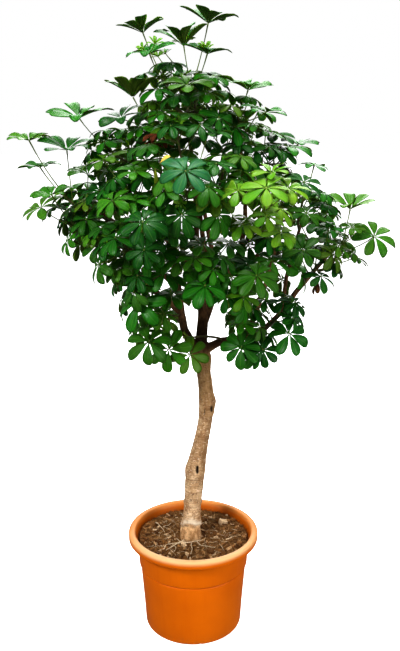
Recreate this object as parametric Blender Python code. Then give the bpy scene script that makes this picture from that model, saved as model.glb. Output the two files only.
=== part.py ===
"""A potted umbrella tree: turned plastic pot, potting mix, a bare trunk with its limbs, and leafy shoots.

Units are metres and +Z is up. The origin is the centre of the pot's underside, on the surface it stands on.
The trunk and its limbs grew as one piece and are one solid. Each leafy shoot is one solid too: a green stem,
its petioles, and on each petiole a leaf shaped like an umbrella. Shoots are grown one after another, and a
leaf turns, leans or shortens its petiole until it clears everything that grew before it.
"""

import math
import random

import bmesh
import bpy
from mathutils import Matrix, Vector
from mathutils.bvhtree import BVHTree

# Pot, turned about Z
POT_HEIGHT = 0.280
RIM_RADIUS = 0.179
RIM_WIDTH = 0.018
RIM_DROP = 0.022
BASE_RADIUS = 0.134
BASE_ROUNDING = 0.010
WALL = 0.003
STEP_HEIGHT = 0.185
STEP_RADIUS = 0.1475
STEP_OUT = 0.002
NECK_RADIUS = 0.1542
POT_SIDES = 40
DRAIN_HOLES = 6
DRAIN_HOLE_RADIUS = 0.007
DRAIN_CIRCLE_RADIUS = 0.090
DRAIN_HOLE_TURN = 0.27

# Potting mix
SOIL_TOP = 0.257
SOIL_BUMP = 0.003
SOIL_DISH = 0.006
SOIL_DISH_SPREAD = 0.006
SOIL_EDGE_GAP = 0.0010
GAP = 0.0004

# Woody parts: (x, y, z, radius) along each centre line
TRUNK = [
    (-0.006, 0.000, 0.165, 0.016),
    (-0.006, 0.000, 0.205, 0.028),
    (-0.007, 0.000, 0.245, 0.031),
    (-0.007, 0.000, 0.282, 0.029),
    (-0.004, 0.000, 0.305, 0.026),
    (-0.002, 0.000, 0.350, 0.024),
    (0.003, 0.000, 0.410, 0.026),
    (0.007, 0.000, 0.458, 0.028),
    (0.013, 0.000, 0.495, 0.024),
    (0.020, 0.000, 0.530, 0.021),
    (0.029, 0.000, 0.575, 0.0195),
    (0.035, 0.000, 0.615, 0.0205),
    (0.037, 0.000, 0.656, 0.022),
    (0.034, 0.000, 0.692, 0.020),
    (0.029, 0.000, 0.736, 0.020),
    (0.025, 0.000, 0.772, 0.0225),
    (0.019, 0.000, 0.805, 0.023),
]
TRUNK_SIDES = 12
SOCKET_POINTS = 5
LIMBS = {
    "leader": [
        (0.020, 0.000, 0.790, 0.018),
        (0.024, 0.000, 0.850, 0.0155),
        (0.027, 0.000, 0.900, 0.0145),
        (0.019, 0.000, 0.945, 0.011),
        (0.014, 0.000, 1.010, 0.009),
        (0.009, 0.000, 1.075, 0.008),
        (0.011, 0.000, 1.150, 0.0075),
        (0.006, 0.000, 1.230, 0.007),
        (-0.003, 0.000, 1.310, 0.0055),
        (-0.018, 0.000, 1.400, 0.0045),
    ],
    "second_leader": [
        (0.026, 0.005, 0.865, 0.013),
        (0.051, 0.035, 0.925, 0.0105),
        (0.088, 0.050, 0.982, 0.009),
        (0.122, 0.050, 1.040, 0.008),
        (0.135, 0.040, 1.127, 0.0065),
        (0.132, 0.020, 1.225, 0.005),
        (0.118, 0.010, 1.310, 0.004),
    ],
    "left": [
        (0.012, 0.000, 0.785, 0.016),
        (-0.022, -0.015, 0.856, 0.0115),
        (-0.030, -0.020, 0.905, 0.0105),
        (-0.037, -0.030, 0.978, 0.0088),
        (-0.056, -0.030, 1.066, 0.0075),
        (-0.073, -0.020, 1.164, 0.006),
        (-0.095, -0.020, 1.275, 0.0045),
    ],
    "far_left": [
        (-0.030, -0.020, 0.903, 0.0095),
        (-0.082, -0.030, 0.951, 0.008),
        (-0.130, -0.030, 0.985, 0.008),
        (-0.152, -0.030, 1.053, 0.0072),
        (-0.182, -0.015, 1.125, 0.006),
        (-0.232, -0.010, 1.160, 0.005),
        (-0.285, -0.010, 1.165, 0.0038),
    ],
    "right": [
        (0.024, 0.000, 0.795, 0.014),
        (0.076, -0.010, 0.824, 0.0105),
        (0.136, -0.015, 0.836, 0.0085),
        (0.186, -0.020, 0.860, 0.0078),
        (0.224, -0.020, 0.900, 0.0072),
        (0.266, -0.020, 0.960, 0.007),
        (0.302, -0.020, 1.005, 0.006),
        (0.340, -0.020, 1.050, 0.0045),
    ],
    "front": [
        (0.026, 0.000, 0.905, 0.0095),
        (0.034, -0.060, 0.975, 0.008),
        (0.032, -0.115, 1.060, 0.007),
        (0.020, -0.155, 1.160, 0.006),
        (0.015, -0.180, 1.250, 0.0045),
    ],
    "front_left": [
        (-0.036, -0.028, 0.970, 0.0075),
        (-0.080, -0.085, 1.020, 0.0065),
        (-0.115, -0.135, 1.085, 0.0055),
        (-0.140, -0.160, 1.150, 0.004),
    ],
    "front_right": [
        (0.090, 0.050, 0.985, 0.0075),
        (0.135, -0.020, 1.020, 0.0065),
        (0.165, -0.090, 1.070, 0.0055),
        (0.180, -0.135, 1.130, 0.004),
    ],
    "back": [
        (0.052, 0.036, 0.928, 0.009),
        (0.060, 0.120, 1.000, 0.0078),
        (0.040, 0.190, 1.090, 0.0068),
        (0.020, 0.230, 1.190, 0.0055),
        (0.010, 0.240, 1.270, 0.004),
    ],
    "back_left": [
        (0.015, 0.000, 1.000, 0.008),
        (-0.045, 0.070, 1.050, 0.0068),
        (-0.110, 0.130, 1.110, 0.0058),
        (-0.170, 0.160, 1.160, 0.004),
    ],
    "back_right": [
        (0.142, -0.014, 0.838, 0.0078),
        (0.175, 0.070, 0.900, 0.0072),
        (0.210, 0.140, 0.980, 0.0062),
        (0.235, 0.170, 1.080, 0.005),
        (0.240, 0.170, 1.150, 0.004),
    ],
    "right_high": [
        (0.228, -0.020, 0.905, 0.0062),
        (0.240, 0.000, 0.990, 0.0058),
        (0.262, 0.010, 1.080, 0.0048),
        (0.280, 0.000, 1.150, 0.0038),
    ],
}
LIMB_SIDES = 7

# Leafy shoots. Each has the place where its stem ends, the size of its leaves, how many of them the growth
# rule places, and the leaves that give the crown its outline: hub, facing, size and droop in degrees.
SHOOTS = {
    "top": {
        "tip": (-0.005, 0.01, 1.47),
        "size": 1.0,
        "grown": 8,
        "placed": [
            ((-0.01, -0.145, 1.455), (0.0, -0.25, 1.0), 1.05, -4),
            ((0.035, -0.12, 1.522), (0.15, -0.15, 1.0), 0.95, -18),
            ((-0.019, -0.02, 1.547), (-0.1, 0.0, 1.0), 1.3, -32),
            ((0.038, 0.02, 1.602), (0.2, 0.0, 1.0), 1.2, -24),
        ],
    },
    "top_left": {
        "tip": (-0.06, -0.03, 1.465),
        "size": 0.95,
        "grown": 8,
        "placed": [
            ((-0.114, -0.03, 1.575), (-0.15, 0.0, 1.0), 1.05, -28),
            ((-0.093, -0.13, 1.521), (-0.2, -0.2, 1.0), 0.95, -10),
        ],
    },
    "upper_left": {
        "tip": (-0.1, -0.05, 1.37),
        "size": 0.95,
        "grown": 8,
        "placed": [
            ((-0.138, -0.06, 1.43), (-0.1, 0.0, 1.0), 1.25, -34),
            ((-0.165, -0.09, 1.383), (-0.25, -0.35, 1.0), 0.95, -8),
        ],
    },
    "upper_left_outer": {
        "tip": (-0.21, 0.0, 1.315),
        "size": 0.95,
        "grown": 8,
        "placed": [
            ((-0.274, -0.01, 1.383), (0.0, -0.2, 1.0), 1.35, -16),
        ],
    },
    "left_outer": {
        "tip": (-0.31, 0.0, 1.19),
        "size": 0.9,
        "grown": 7,
        "placed": [
            ((-0.305, -0.02, 1.307), (0.0, -0.2, 1.0), 1.2, -18),
            ((-0.387, -0.04, 1.327), (0.0, -0.1, 1.0), 0.95, -12),
            ((-0.386, 0.05, 1.262), (-0.1, -0.1, 1.0), 0.9, -12),
        ],
    },
    "left_middle": {
        "tip": (-0.255, -0.07, 1.175),
        "size": 0.85,
        "grown": 8,
        "placed": [
            ((-0.247, -0.08, 1.254), (0.0, -0.2, 1.0), 0.9, -8),
            ((-0.215, -0.12, 1.22), (-0.2, -0.5, 0.9), 0.75, 10),
        ],
    },
    "left_low": {
        "tip": (-0.29, -0.04, 1.125),
        "size": 0.8,
        "grown": 6,
        "placed": [
            ((-0.367, -0.06, 1.173), (-0.4, -0.4, 0.9), 0.85, 2),
            ((-0.328, -0.12, 1.208), (-0.2, -0.2, 1.0), 0.85, -12),
            ((-0.25, -0.12, 1.152), (-0.2, -0.5, 0.8), 0.7, 8),
        ],
    },
    "left_under": {
        "tip": (-0.18, -0.07, 1.055),
        "size": 0.8,
        "grown": 8,
        "placed": [
            ((-0.229, -0.1, 1.087), (-0.3, -0.7, 0.6), 0.7, 16),
            ((-0.175, -0.12, 1.037), (-0.4, -0.6, 0.5), 0.7, 18),
        ],
    },
    "lower_left": {
        "tip": (-0.08, -0.1, 0.9),
        "size": 0.95,
        "grown": 6,
        "placed": [
            ((-0.123, -0.19, 0.967), (-0.45, -0.65, 0.6), 1.1, 12),
            ((-0.104, -0.16, 0.864), (0.0, -0.75, 0.5), 1.0, 26),
            ((-0.068, -0.15, 0.93), (0.0, -0.6, 0.7), 0.7, 30),
        ],
    },
    "fork": {
        "tip": (0.0, -0.05, 0.845),
        "size": 0.65,
        "grown": 2,
        "placed": [
            ((-0.006, -0.105, 0.815), (0.15, -0.85, 0.5), 0.88, 14),
        ],
    },
    "front_centre": {
        "tip": (-0.015, -0.27, 1.22),
        "size": 1.0,
        "grown": 8,
        "placed": [
            ((0.035, -0.19, 1.345), (0.1, -0.1, 1.0), 0.95, -8),
            ((-0.01, -0.37, 1.28), (0.05, -0.55, 0.85), 0.95, 6),
        ],
    },
    "front_left": {
        "tip": (-0.105, -0.25, 1.14),
        "size": 0.9,
        "grown": 8,
        "placed": [
            ((-0.1, -0.35, 1.175), (0.0, -0.6, 0.8), 0.9, 16),
            ((-0.17, -0.26, 1.21), (-0.3, -0.5, 0.85), 0.85, 12),
        ],
    },
    "front_left_high": {
        "tip": (-0.145, -0.16, 1.23),
        "size": 0.95,
        "grown": 8,
        "placed": [
            ((-0.125, -0.22, 1.27), (0.0, -0.3, 1.0), 0.75, 0),
            ((-0.205, -0.12, 1.29), (-0.3, -0.2, 1.0), 0.95, 2),
        ],
    },
    "front_high": {
        "tip": (-0.03, -0.18, 1.365),
        "size": 1.0,
        "grown": 8,
        "placed": [],
    },
    "upper_right": {
        "tip": (0.11, -0.02, 1.39),
        "size": 0.95,
        "grown": 8,
        "placed": [
            ((0.171, -0.1, 1.396), (0.2, -0.1, 1.0), 0.9, -8),
            ((0.133, -0.03, 1.447), (0.1, -0.1, 1.0), 1.0, -18),
        ],
    },
    "right_shoulder": {
        "tip": (0.215, 0.0, 1.275),
        "size": 0.95,
        "grown": 6,
        "placed": [
            ((0.235, -0.02, 1.315), (0.1, -0.1, 1.0), 1.0, 2),
            ((0.267, 0.04, 1.315), (0.1, -0.1, 1.0), 0.95, -14),
            ((0.2, 0.03, 1.345), (0.2, -0.2, 1.0), 0.95, 4),
        ],
    },
    "bright": {
        "tip": (0.16, -0.25, 1.195),
        "size": 0.85,
        "grown": 7,
        "placed": [
            ((0.17, -0.29, 1.27), (-0.1, -0.3, 1.0), 0.8, -8),
            ((0.155, -0.35, 1.245), (-0.1, -0.55, 0.85), 0.85, 10),
            ((0.205, -0.31, 1.24), (0.1, -0.4, 0.9), 0.85, 6),
            ((0.1, -0.3, 1.235), (-0.2, -0.4, 0.9), 0.75, 8),
        ],
    },
    "right_middle": {
        "tip": (0.27, -0.05, 1.19),
        "size": 0.9,
        "grown": 8,
        "placed": [
            ((0.295, -0.04, 1.272), (0.15, -0.1, 1.0), 0.65, 0),
            ((0.26, -0.13, 1.24), (0.2, -0.5, 0.8), 0.8, 8),
        ],
    },
    "right_outer": {
        "tip": (0.375, -0.02, 1.08),
        "size": 0.8,
        "grown": 7,
        "placed": [
            ((0.391, -0.02, 1.164), (0.1, -0.2, 1.0), 1.1, -26),
            ((0.45, -0.04, 1.1), (0.2, -0.7, 0.65), 0.92, 6),
            ((0.39, -0.06, 1.125), (0.0, -0.4, 0.9), 0.5, 0),
        ],
    },
    "right_outer_low": {
        "tip": (0.32, -0.07, 1.05),
        "size": 0.8,
        "grown": 7,
        "placed": [
            ((0.33, -0.08, 1.125), (0.0, -0.3, 1.0), 0.65, 0),
            ((0.34, -0.1, 1.065), (0.5, -0.6, 0.5), 0.72, 18),
            ((0.255, -0.19, 1.09), (0.0, -0.8, 0.6), 0.75, 8),
        ],
    },
    "right_low": {
        "tip": (0.235, -0.07, 0.925),
        "size": 0.8,
        "grown": 5,
        "placed": [
            ((0.252, -0.1, 0.946), (0.4, -0.4, 0.8), 0.65, 20),
            ((0.235, -0.14, 0.878), (0.1, -0.7, 0.6), 0.85, 18),
        ],
    },
    "right_under": {
        "tip": (0.15, -0.09, 0.87),
        "size": 0.85,
        "grown": 7,
        "placed": [
            ((0.12, -0.14, 0.845), (-0.1, -0.8, 0.5), 0.85, 16),
            ((0.175, -0.14, 0.84), (0.1, -0.8, 0.5), 0.8, 16),
        ],
    },
    "under_back": {
        "tip": (0.13, 0.12, 0.86),
        "size": 0.85,
        "grown": 8,
        "placed": [],
    },
    "front_right": {
        "tip": (0.1, -0.2, 1.02),
        "size": 0.9,
        "grown": 8,
        "placed": [
            ((0.079, -0.235, 0.992), (0.1, -0.6, 0.75), 0.66, 18),
            ((0.145, -0.26, 1.045), (0.0, -0.6, 0.75), 0.9, 20),
        ],
    },
    "front_middle": {
        "tip": (0.035, -0.22, 1.055),
        "size": 0.9,
        "grown": 8,
        "placed": [
            ((0.03, -0.28, 1.025), (0.1, -0.6, 0.75), 0.85, 22),
        ],
    },
    "front_lower_left": {
        "tip": (-0.125, -0.17, 1.025),
        "size": 0.95,
        "grown": 8,
        "placed": [],
    },
    "front_right_high": {
        "tip": (0.07, -0.22, 1.27),
        "size": 0.95,
        "grown": 9,
        "placed": [],
    },
    "front_upper_right": {
        "tip": (0.045, -0.11, 1.4),
        "size": 0.95,
        "grown": 8,
        "placed": [],
    },
    "left_inner": {
        "tip": (-0.19, -0.16, 1.11),
        "size": 0.9,
        "grown": 8,
        "placed": [],
    },
    "back_top": {
        "tip": (-0.01, 0.16, 1.42),
        "size": 1.0,
        "grown": 9,
        "placed": [],
    },
    "back_left_high": {
        "tip": (-0.175, 0.19, 1.31),
        "size": 1.0,
        "grown": 9,
        "placed": [],
    },
    "back_right_high": {
        "tip": (0.125, 0.21, 1.34),
        "size": 1.0,
        "grown": 9,
        "placed": [],
    },
    "back_centre": {
        "tip": (-0.01, 0.32, 1.195),
        "size": 1.0,
        "grown": 9,
        "placed": [],
    },
    "back_left": {
        "tip": (-0.23, 0.27, 1.155),
        "size": 1.0,
        "grown": 9,
        "placed": [],
    },
    "back_right": {
        "tip": (0.23, 0.28, 1.17),
        "size": 1.0,
        "grown": 9,
        "placed": [],
    },
    "back_left_low": {
        "tip": (-0.18, 0.22, 0.975),
        "size": 1.0,
        "grown": 9,
        "placed": [],
    },
    "back_low": {
        "tip": (0.015, 0.29, 0.98),
        "size": 1.0,
        "grown": 9,
        "placed": [],
    },
    "back_right_low": {
        "tip": (0.215, 0.24, 0.97),
        "size": 1.0,
        "grown": 9,
        "placed": [],
    },
    "back_left_outer": {
        "tip": (-0.3, 0.12, 1.125),
        "size": 0.95,
        "grown": 9,
        "placed": [],
    },
    "back_right_outer": {
        "tip": (0.335, 0.14, 1.115),
        "size": 0.95,
        "grown": 9,
        "placed": [],
    },
    "right_inner": {
        "tip": (0.21, -0.15, 1.095),
        "size": 0.9,
        "grown": 8,
        "placed": [],
    },
    "centre_left": {
        "tip": (-0.05, -0.14, 1.085),
        "size": 0.95,
        "grown": 8,
        "placed": [],
    },
    "centre_right": {
        "tip": (0.14, -0.06, 1.10),
        "size": 0.9,
        "grown": 8,
        "placed": [],
    },
    "centre_right_high": {
        "tip": (0.135, -0.08, 1.285),
        "size": 0.95,
        "grown": 8,
        "placed": [],
    },
    "centre_high": {
        "tip": (-0.075, -0.09, 1.29),
        "size": 1.0,
        "grown": 8,
        "placed": [],
    },
    "back_lower_left": {
        "tip": (-0.08, 0.13, 0.87),
        "size": 1.0,
        "grown": 8,
        "placed": [],
    },
}
# The crown is open on both sides of the fork. Each gap has its width and its height where the trunk stands, and
# the gaps rise towards the front, as the shoots round them do. No leaf that the growth rule places enters them.
OPEN_GAPS = [((-0.026, 0.010), (0.832, 0.915)), ((0.034, 0.085), (0.825, 0.925))]
OPEN_GAP_SLANT = 0.26
CROWN_CENTRE = Vector((0.020, 0.000, 1.050))
UP = Vector((0.0, 0.0, 1.0))
GOLDEN_ANGLE = math.radians(137.5)
LEAF_RADIUS = 0.062
PLACED_RADIUS = 0.068
PETIOLE_LONGEST = 0.085
PETIOLE_SHORTEST = 0.040
PETIOLE_RADIUS = 0.0013
LEAF_THICKNESS = 0.0022
LEAST_DROOP = 8.0
MOST_DROOP = 32.0
PLACED_SHIFT = 0.02
NOTCH_SHARE = 0.30
LEAFLET_HALF_ANGLE = 0.24
LEAFLET_WIDEST = 0.75
PETIOLE_START = 0.006
STEM_BASE_RADIUS = 0.0036
STEM_TIP_RADIUS = 0.0024
STEM_BARE_SEGMENTS = 3
STEM_GAP = 0.0008
STEM_COLLAR = 0.004
STEM_SHORTEST = 0.09
STEM_CLEARANCE = 1.2
LEAFY_LENGTH_PER_LEAF = 0.012
GROWTH_TRIES = 120
TIP_LEAST_FORWARD = 0.15

# Loose pieces on the potting mix: (x, y, heading in degrees, length, width)
BARK_CHIPS = [
    (0.062, 0.052, 25.0, 0.026, 0.015),
    (0.098, -0.074, -35.0, 0.024, 0.014),
    (-0.104, -0.048, 70.0, 0.027, 0.013),
    (0.020, -0.118, 10.0, 0.025, 0.015),
    (-0.070, 0.086, -20.0, 0.028, 0.014),
]
CHIP_THICKNESS = 0.005
CHIP_LIFT = 0.001
SURFACE_ROOTS = {
    "surface_root_left": [(-0.022, -0.040), (-0.040, -0.056), (-0.052, -0.078), (-0.070, -0.094)],
    "surface_root_front": [(-0.002, -0.040), (-0.004, -0.062), (0.000, -0.084), (-0.004, -0.104)],
}
SURFACE_ROOT_RADIUS = 0.0016
DRY_TWIG = [(-0.105, 0.062), (-0.088, 0.040), (-0.076, 0.014)]
DRY_TWIG_RADIUS = 0.0012
STRAND_LIFT = 0.0022


def material(name, colour, roughness):
    made = bpy.data.materials.new(name)
    made.use_nodes = True
    shader = made.node_tree.nodes["Principled BSDF"]
    shader.inputs["Base Color"].default_value = (*colour, 1.0)
    shader.inputs["Roughness"].default_value = roughness
    shader.inputs["Metallic"].default_value = 0.0
    return made


def new_object(name, bm, finish, smooth=False):
    """Make an object from a bmesh, with all faces pointing out."""
    bmesh.ops.recalc_face_normals(bm, faces=bm.faces)
    if bm.calc_volume(signed=True) < 0:
        bmesh.ops.reverse_faces(bm, faces=bm.faces)
    mesh = bpy.data.meshes.new(name)
    bm.to_mesh(mesh)
    bm.free()
    if smooth:
        mesh.shade_smooth()
        mesh.set_sharp_from_angle(angle=math.radians(40))
    obj = bpy.data.objects.new(name, mesh)
    bpy.context.collection.objects.link(obj)
    obj.data.materials.append(finish)
    return obj


def make_cutter(obj):
    """Hide a helper solid that only shapes another one."""
    obj.hide_render = True
    obj.display_type = "WIRE"
    return obj


def arc(centre, radius, start, end, steps):
    """Points of a circular arc in the (radius, height) plane, with angles in degrees."""
    points = []
    for i in range(steps + 1):
        angle = math.radians(start + (end - start) * i / steps)
        points.append((centre[0] + radius * math.cos(angle), centre[1] + radius * math.sin(angle)))
    return points


def turned(profile, sides):
    """Spin a closed (radius, height) outline about Z. Points on the axis become one vertex each."""
    bm = bmesh.new()
    rings = []
    for radius, height in profile:
        if radius == 0.0:
            rings.append([bm.verts.new((0.0, 0.0, height))])
            continue
        ring = []
        for i in range(sides):
            angle = 2 * math.pi * i / sides
            ring.append(bm.verts.new((radius * math.cos(angle), radius * math.sin(angle), height)))
        rings.append(ring)
    for lower, upper in zip(rings, rings[1:]):
        for i in range(sides):
            corners = [lower[i % len(lower)], lower[(i + 1) % len(lower)]]
            corners += [upper[(i + 1) % len(upper)], upper[i % len(upper)]]
            corners = list(dict.fromkeys(corners))
            if len(corners) > 2:
                bm.faces.new(corners)
    return bm


def inner_wall_radius(height):
    """Radius of the pot's inner wall at a height, following the outer wall."""
    share = (height - BASE_ROUNDING) / (STEP_HEIGHT - BASE_ROUNDING)
    if height <= STEP_HEIGHT:
        return BASE_RADIUS + (STEP_RADIUS - BASE_RADIUS) * share - WALL
    share = (height - STEP_HEIGHT) / (POT_HEIGHT - RIM_DROP - STEP_HEIGHT)
    return STEP_RADIUS + (NECK_RADIUS - STEP_RADIUS) * min(share, 1.0) - WALL


def make_pot(finish):
    """Thin-walled pot with a flat underside, a step ring, a broad rolled rim and drainage holes."""
    rounding = BASE_ROUNDING
    foot = arc((BASE_RADIUS - rounding, rounding), rounding, -90, 0, 4)
    rim_roll = RIM_WIDTH / 3
    rim_inside = RIM_RADIUS - RIM_WIDTH
    under_lip = POT_HEIGHT - RIM_DROP
    outline = [(0.0, 0.0), (DRAIN_CIRCLE_RADIUS - 2 * DRAIN_HOLE_RADIUS, 0.0)] + foot
    outline += [(STEP_RADIUS, STEP_HEIGHT), (STEP_RADIUS + STEP_OUT, STEP_HEIGHT + STEP_OUT)]
    outline += [(NECK_RADIUS, under_lip), (RIM_RADIUS - 2 * WALL, under_lip)]
    outline += [(RIM_RADIUS - WALL / 2, under_lip + WALL / 2)]
    outline += arc((RIM_RADIUS - rim_roll, POT_HEIGHT - rim_roll), rim_roll, 0, 90, 4)
    outline += arc((rim_inside + rim_roll, POT_HEIGHT - rim_roll), rim_roll, 90, 180, 4)
    outline += [(inner_wall_radius(under_lip), under_lip - WALL)]
    outline += [(inner_wall_radius(STEP_HEIGHT), STEP_HEIGHT)]
    outline += [(BASE_RADIUS - WALL, rounding), (BASE_RADIUS - rounding, WALL)]
    outline += [(DRAIN_CIRCLE_RADIUS - 2 * DRAIN_HOLE_RADIUS, WALL), (0.0, WALL)]
    pot = new_object("pot", turned(outline, POT_SIDES), finish, smooth=True)
    for i in range(DRAIN_HOLES):
        angle = 2 * math.pi * (i + DRAIN_HOLE_TURN) / DRAIN_HOLES
        bm = bmesh.new()
        bmesh.ops.create_cone(
            bm, cap_ends=True, segments=12,
            radius1=DRAIN_HOLE_RADIUS, radius2=DRAIN_HOLE_RADIUS, depth=4 * WALL,
        )
        hole = make_cutter(new_object(f"drain_hole_{i + 1}", bm, finish))
        hole.location = (DRAIN_CIRCLE_RADIUS * math.cos(angle), DRAIN_CIRCLE_RADIUS * math.sin(angle), 0.0)
        cut = pot.modifiers.new(f"Drain hole {i + 1}", "BOOLEAN")
        cut.object = hole
    return pot


def frame_along(direction, side_hint):
    """Two unit vectors square to a direction, the first as near as it can be to a hint."""
    side = (side_hint - direction * side_hint.dot(direction)).normalized()
    return side, direction.cross(side)


def tube_rings(points, radii, sides):
    """Corner points of each ring of a tube, carried along the path without twisting."""
    rings = []
    side = Vector((1.0, 0.0, 0.0))
    if abs((points[1] - points[0]).normalized().x) > 0.9:
        side = Vector((0.0, 1.0, 0.0))
    for i, (point, radius) in enumerate(zip(points, radii)):
        ahead = points[min(i + 1, len(points) - 1)]
        behind = points[max(i - 1, 0)]
        side, other = frame_along((ahead - behind).normalized(), side)
        ring = []
        for j in range(sides):
            angle = 2 * math.pi * j / sides
            ring.append(point + radius * (side * math.cos(angle) + other * math.sin(angle)))
        rings.append(ring)
    return rings


def tube_bmesh(points, radii, sides):
    """Closed tube through the points, with a flat cap at each end."""
    bm = bmesh.new()
    rings = [[bm.verts.new(corner) for corner in ring] for ring in tube_rings(points, radii, sides)]
    for lower, upper in zip(rings, rings[1:]):
        for j in range(sides):
            bm.faces.new((lower[j], lower[(j + 1) % sides], upper[(j + 1) % sides], upper[j]))
    bm.faces.new(rings[0])
    bm.faces.new(rings[-1])
    bmesh.ops.recalc_face_normals(bm, faces=bm.faces)
    return bm


def split_line(line):
    """Points and radii of a list of (x, y, z, radius)."""
    return [Vector(entry[:3]) for entry in line], [entry[3] for entry in line]


def make_trunk(finish):
    """Trunk with all its limbs, joined into one solid."""
    trunk = new_object("trunk_and_limbs", tube_bmesh(*split_line(TRUNK), TRUNK_SIDES), finish, smooth=True)
    for name, line in LIMBS.items():
        limb = make_cutter(new_object(f"limb_{name}", tube_bmesh(*split_line(line), LIMB_SIDES), finish))
        join = trunk.modifiers.new(f"Join {name}", "BOOLEAN")
        join.operation = "UNION"
        join.object = limb
    return trunk


def soil_height(x, y):
    """Gently uneven surface, a little lower round the trunk."""
    dish = SOIL_DISH * math.exp(-(x * x + y * y) / SOIL_DISH_SPREAD)
    waves = math.sin(41 * x + 1.3) * math.cos(37 * y) + 0.6 * math.sin(83 * y - 29 * x)
    return SOIL_TOP - dish + SOIL_BUMP * waves / 2


def make_soil(finish):
    """Potting mix filling the pot, with a socket that the foot of the trunk stands in."""
    bottom = WALL + GAP
    radii = [0.030, 0.060, 0.090, 0.118]
    outline = [(0.0, bottom), (BASE_RADIUS - BASE_ROUNDING - GAP, bottom)]
    outline += [(BASE_RADIUS - WALL - GAP, BASE_ROUNDING)]
    outline += [(inner_wall_radius(STEP_HEIGHT) - GAP, STEP_HEIGHT)]
    outline += [(inner_wall_radius(SOIL_TOP) - SOIL_EDGE_GAP, SOIL_TOP)]
    outline += [(radius, SOIL_TOP) for radius in reversed(radii)] + [(0.0, SOIL_TOP)]
    bm = turned(outline, POT_SIDES)
    for vert in bm.verts:
        if vert.co.z > SOIL_TOP - 0.001:
            vert.co.z = soil_height(vert.co.x, vert.co.y)
    soil = new_object("potting_mix", bm, finish)
    points, radii = split_line(TRUNK[:SOCKET_POINTS])
    points[0] = points[0] - 2 * GAP * UP
    socket_tube = tube_bmesh(points, [radius + GAP for radius in radii], TRUNK_SIDES)
    socket = make_cutter(new_object("trunk_socket", socket_tube, finish))
    cut = soil.modifiers.new("Trunk socket", "BOOLEAN")
    cut.object = socket
    return soil


class Clearance:
    """What has grown so far, kept as search trees, to tell whether a new surface would touch it."""

    def __init__(self):
        self.solids = []

    def tree(self, points, faces):
        return BVHTree.FromPolygons(points, faces, all_triangles=False)

    def add(self, points, faces, owner=None):
        middle = sum(points, Vector()) / len(points)
        reach = max((point - middle).length for point in points)
        self.solids.append((self.tree(points, faces), middle, reach, owner))

    def is_clear(self, points, faces, own_stem=None):
        """True if the surface touches nothing. A petiole may touch the stem that it grows from."""
        middle = sum(points, Vector()) / len(points)
        reach = max((point - middle).length for point in points)
        tree = self.tree(points, faces)
        for other, centre, radius, owner in self.solids:
            if owner and owner == own_stem:
                continue
            if (centre - middle).length < reach + radius and tree.overlap(other):
                return False
        return True


def tube_surface(points, radii, sides):
    """Points and faces of a tube, for a clearance test."""
    rings = tube_rings(points, radii, sides)
    corners = [corner for ring in rings for corner in ring]
    faces = []
    for i in range(len(rings) - 1):
        for j in range(sides):
            k = (j + 1) % sides
            faces.append((i * sides + j, i * sides + k, (i + 1) * sides + k, (i + 1) * sides + j))
    return corners, faces


class Leaf:
    """An umbrella leaf: where its petiole starts, its hub, which way it faces and where its leaflets end."""

    def __init__(self, foot, hub, facing, radius, droop, rng):
        self.foot = foot
        self.direction = (hub - foot).normalized()
        self.hub = hub
        self.facing = facing
        self.radius = radius
        self.across, self.along = frame_along(facing, Vector((1.0, 0.35, 0.1)))
        count = rng.choice((7, 7, 8))
        turn = rng.uniform(0.0, 2 * math.pi)
        self.spokes = []
        for i in range(count):
            angle = turn + 2 * math.pi * (i + rng.uniform(-0.12, 0.12)) / count
            reach = radius * rng.uniform(0.84, 1.0)
            fall = math.radians(droop + rng.uniform(-6.0, 6.0))
            self.spokes.append((angle, reach, fall))

    def out(self, angle):
        return self.across * math.cos(angle) + self.along * math.sin(angle)

    def point(self, angle, reach, droop):
        return self.hub + reach * (math.cos(droop) * self.out(angle) - math.sin(droop) * self.facing)

    def rim(self):
        """Leaflet tips and the notches between them, in order round the leaf."""
        points = []
        following = [angle for angle, _, _ in self.spokes[1:]] + [self.spokes[0][0] + 2 * math.pi]
        for (angle, reach, droop), next_angle in zip(self.spokes, following):
            points.append(self.point(angle, reach, droop))
            points.append(self.point((angle + next_angle) / 2, NOTCH_SHARE * self.radius, droop / 2))
        return points

    def surface(self):
        """Broad leaflets as flat blades, for a clearance test."""
        points = [self.hub]
        faces = []
        for angle, reach, droop in self.spokes:
            first = len(points)
            points.append(self.point(angle - LEAFLET_HALF_ANGLE, LEAFLET_WIDEST * reach, droop))
            points.append(self.point(angle, reach, droop))
            points.append(self.point(angle + LEAFLET_HALF_ANGLE, LEAFLET_WIDEST * reach, droop))
            faces.append((0, first, first + 1, first + 2))
        rim = self.rim()
        first = len(points)
        points += [self.hub + LEAF_THICKNESS * self.facing, self.hub - LEAF_THICKNESS * self.facing] + rim
        for i in range(len(rim)):
            pair = (first + 2 + i, first + 2 + (i + 1) % len(rim))
            faces += [(first, *pair), (first + 1, *pair)]
        return points, faces

    def petiole_surface(self):
        start = self.foot + PETIOLE_START * self.direction
        return tube_surface([start, self.hub], [STEM_BASE_RADIUS, 1.5 * PETIOLE_RADIUS], 4)


def limb_points(target):
    """Points of the limbs' centre lines, those that suit a shoot ending at the target best first."""
    found = []
    for name, line in LIMBS.items():
        points, radii = split_line(line)
        for i in range(1, len(points) - 1):
            for share in (0.0, 0.25, 0.5, 0.75, 0.96):
                point = points[i].lerp(points[i + 1], share)
                radius = radii[i] + (radii[i + 1] - radii[i]) * share
                towards = target - point
                cost = towards.length + 0.6 * max(0.0, -towards.z) + 3.0 * max(0.0, STEM_SHORTEST - towards.length)
                found.append((cost, point, radius, (points[i + 1] - points[i]).normalized()))
    return sorted(found, key=lambda entry: entry[0])


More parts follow.
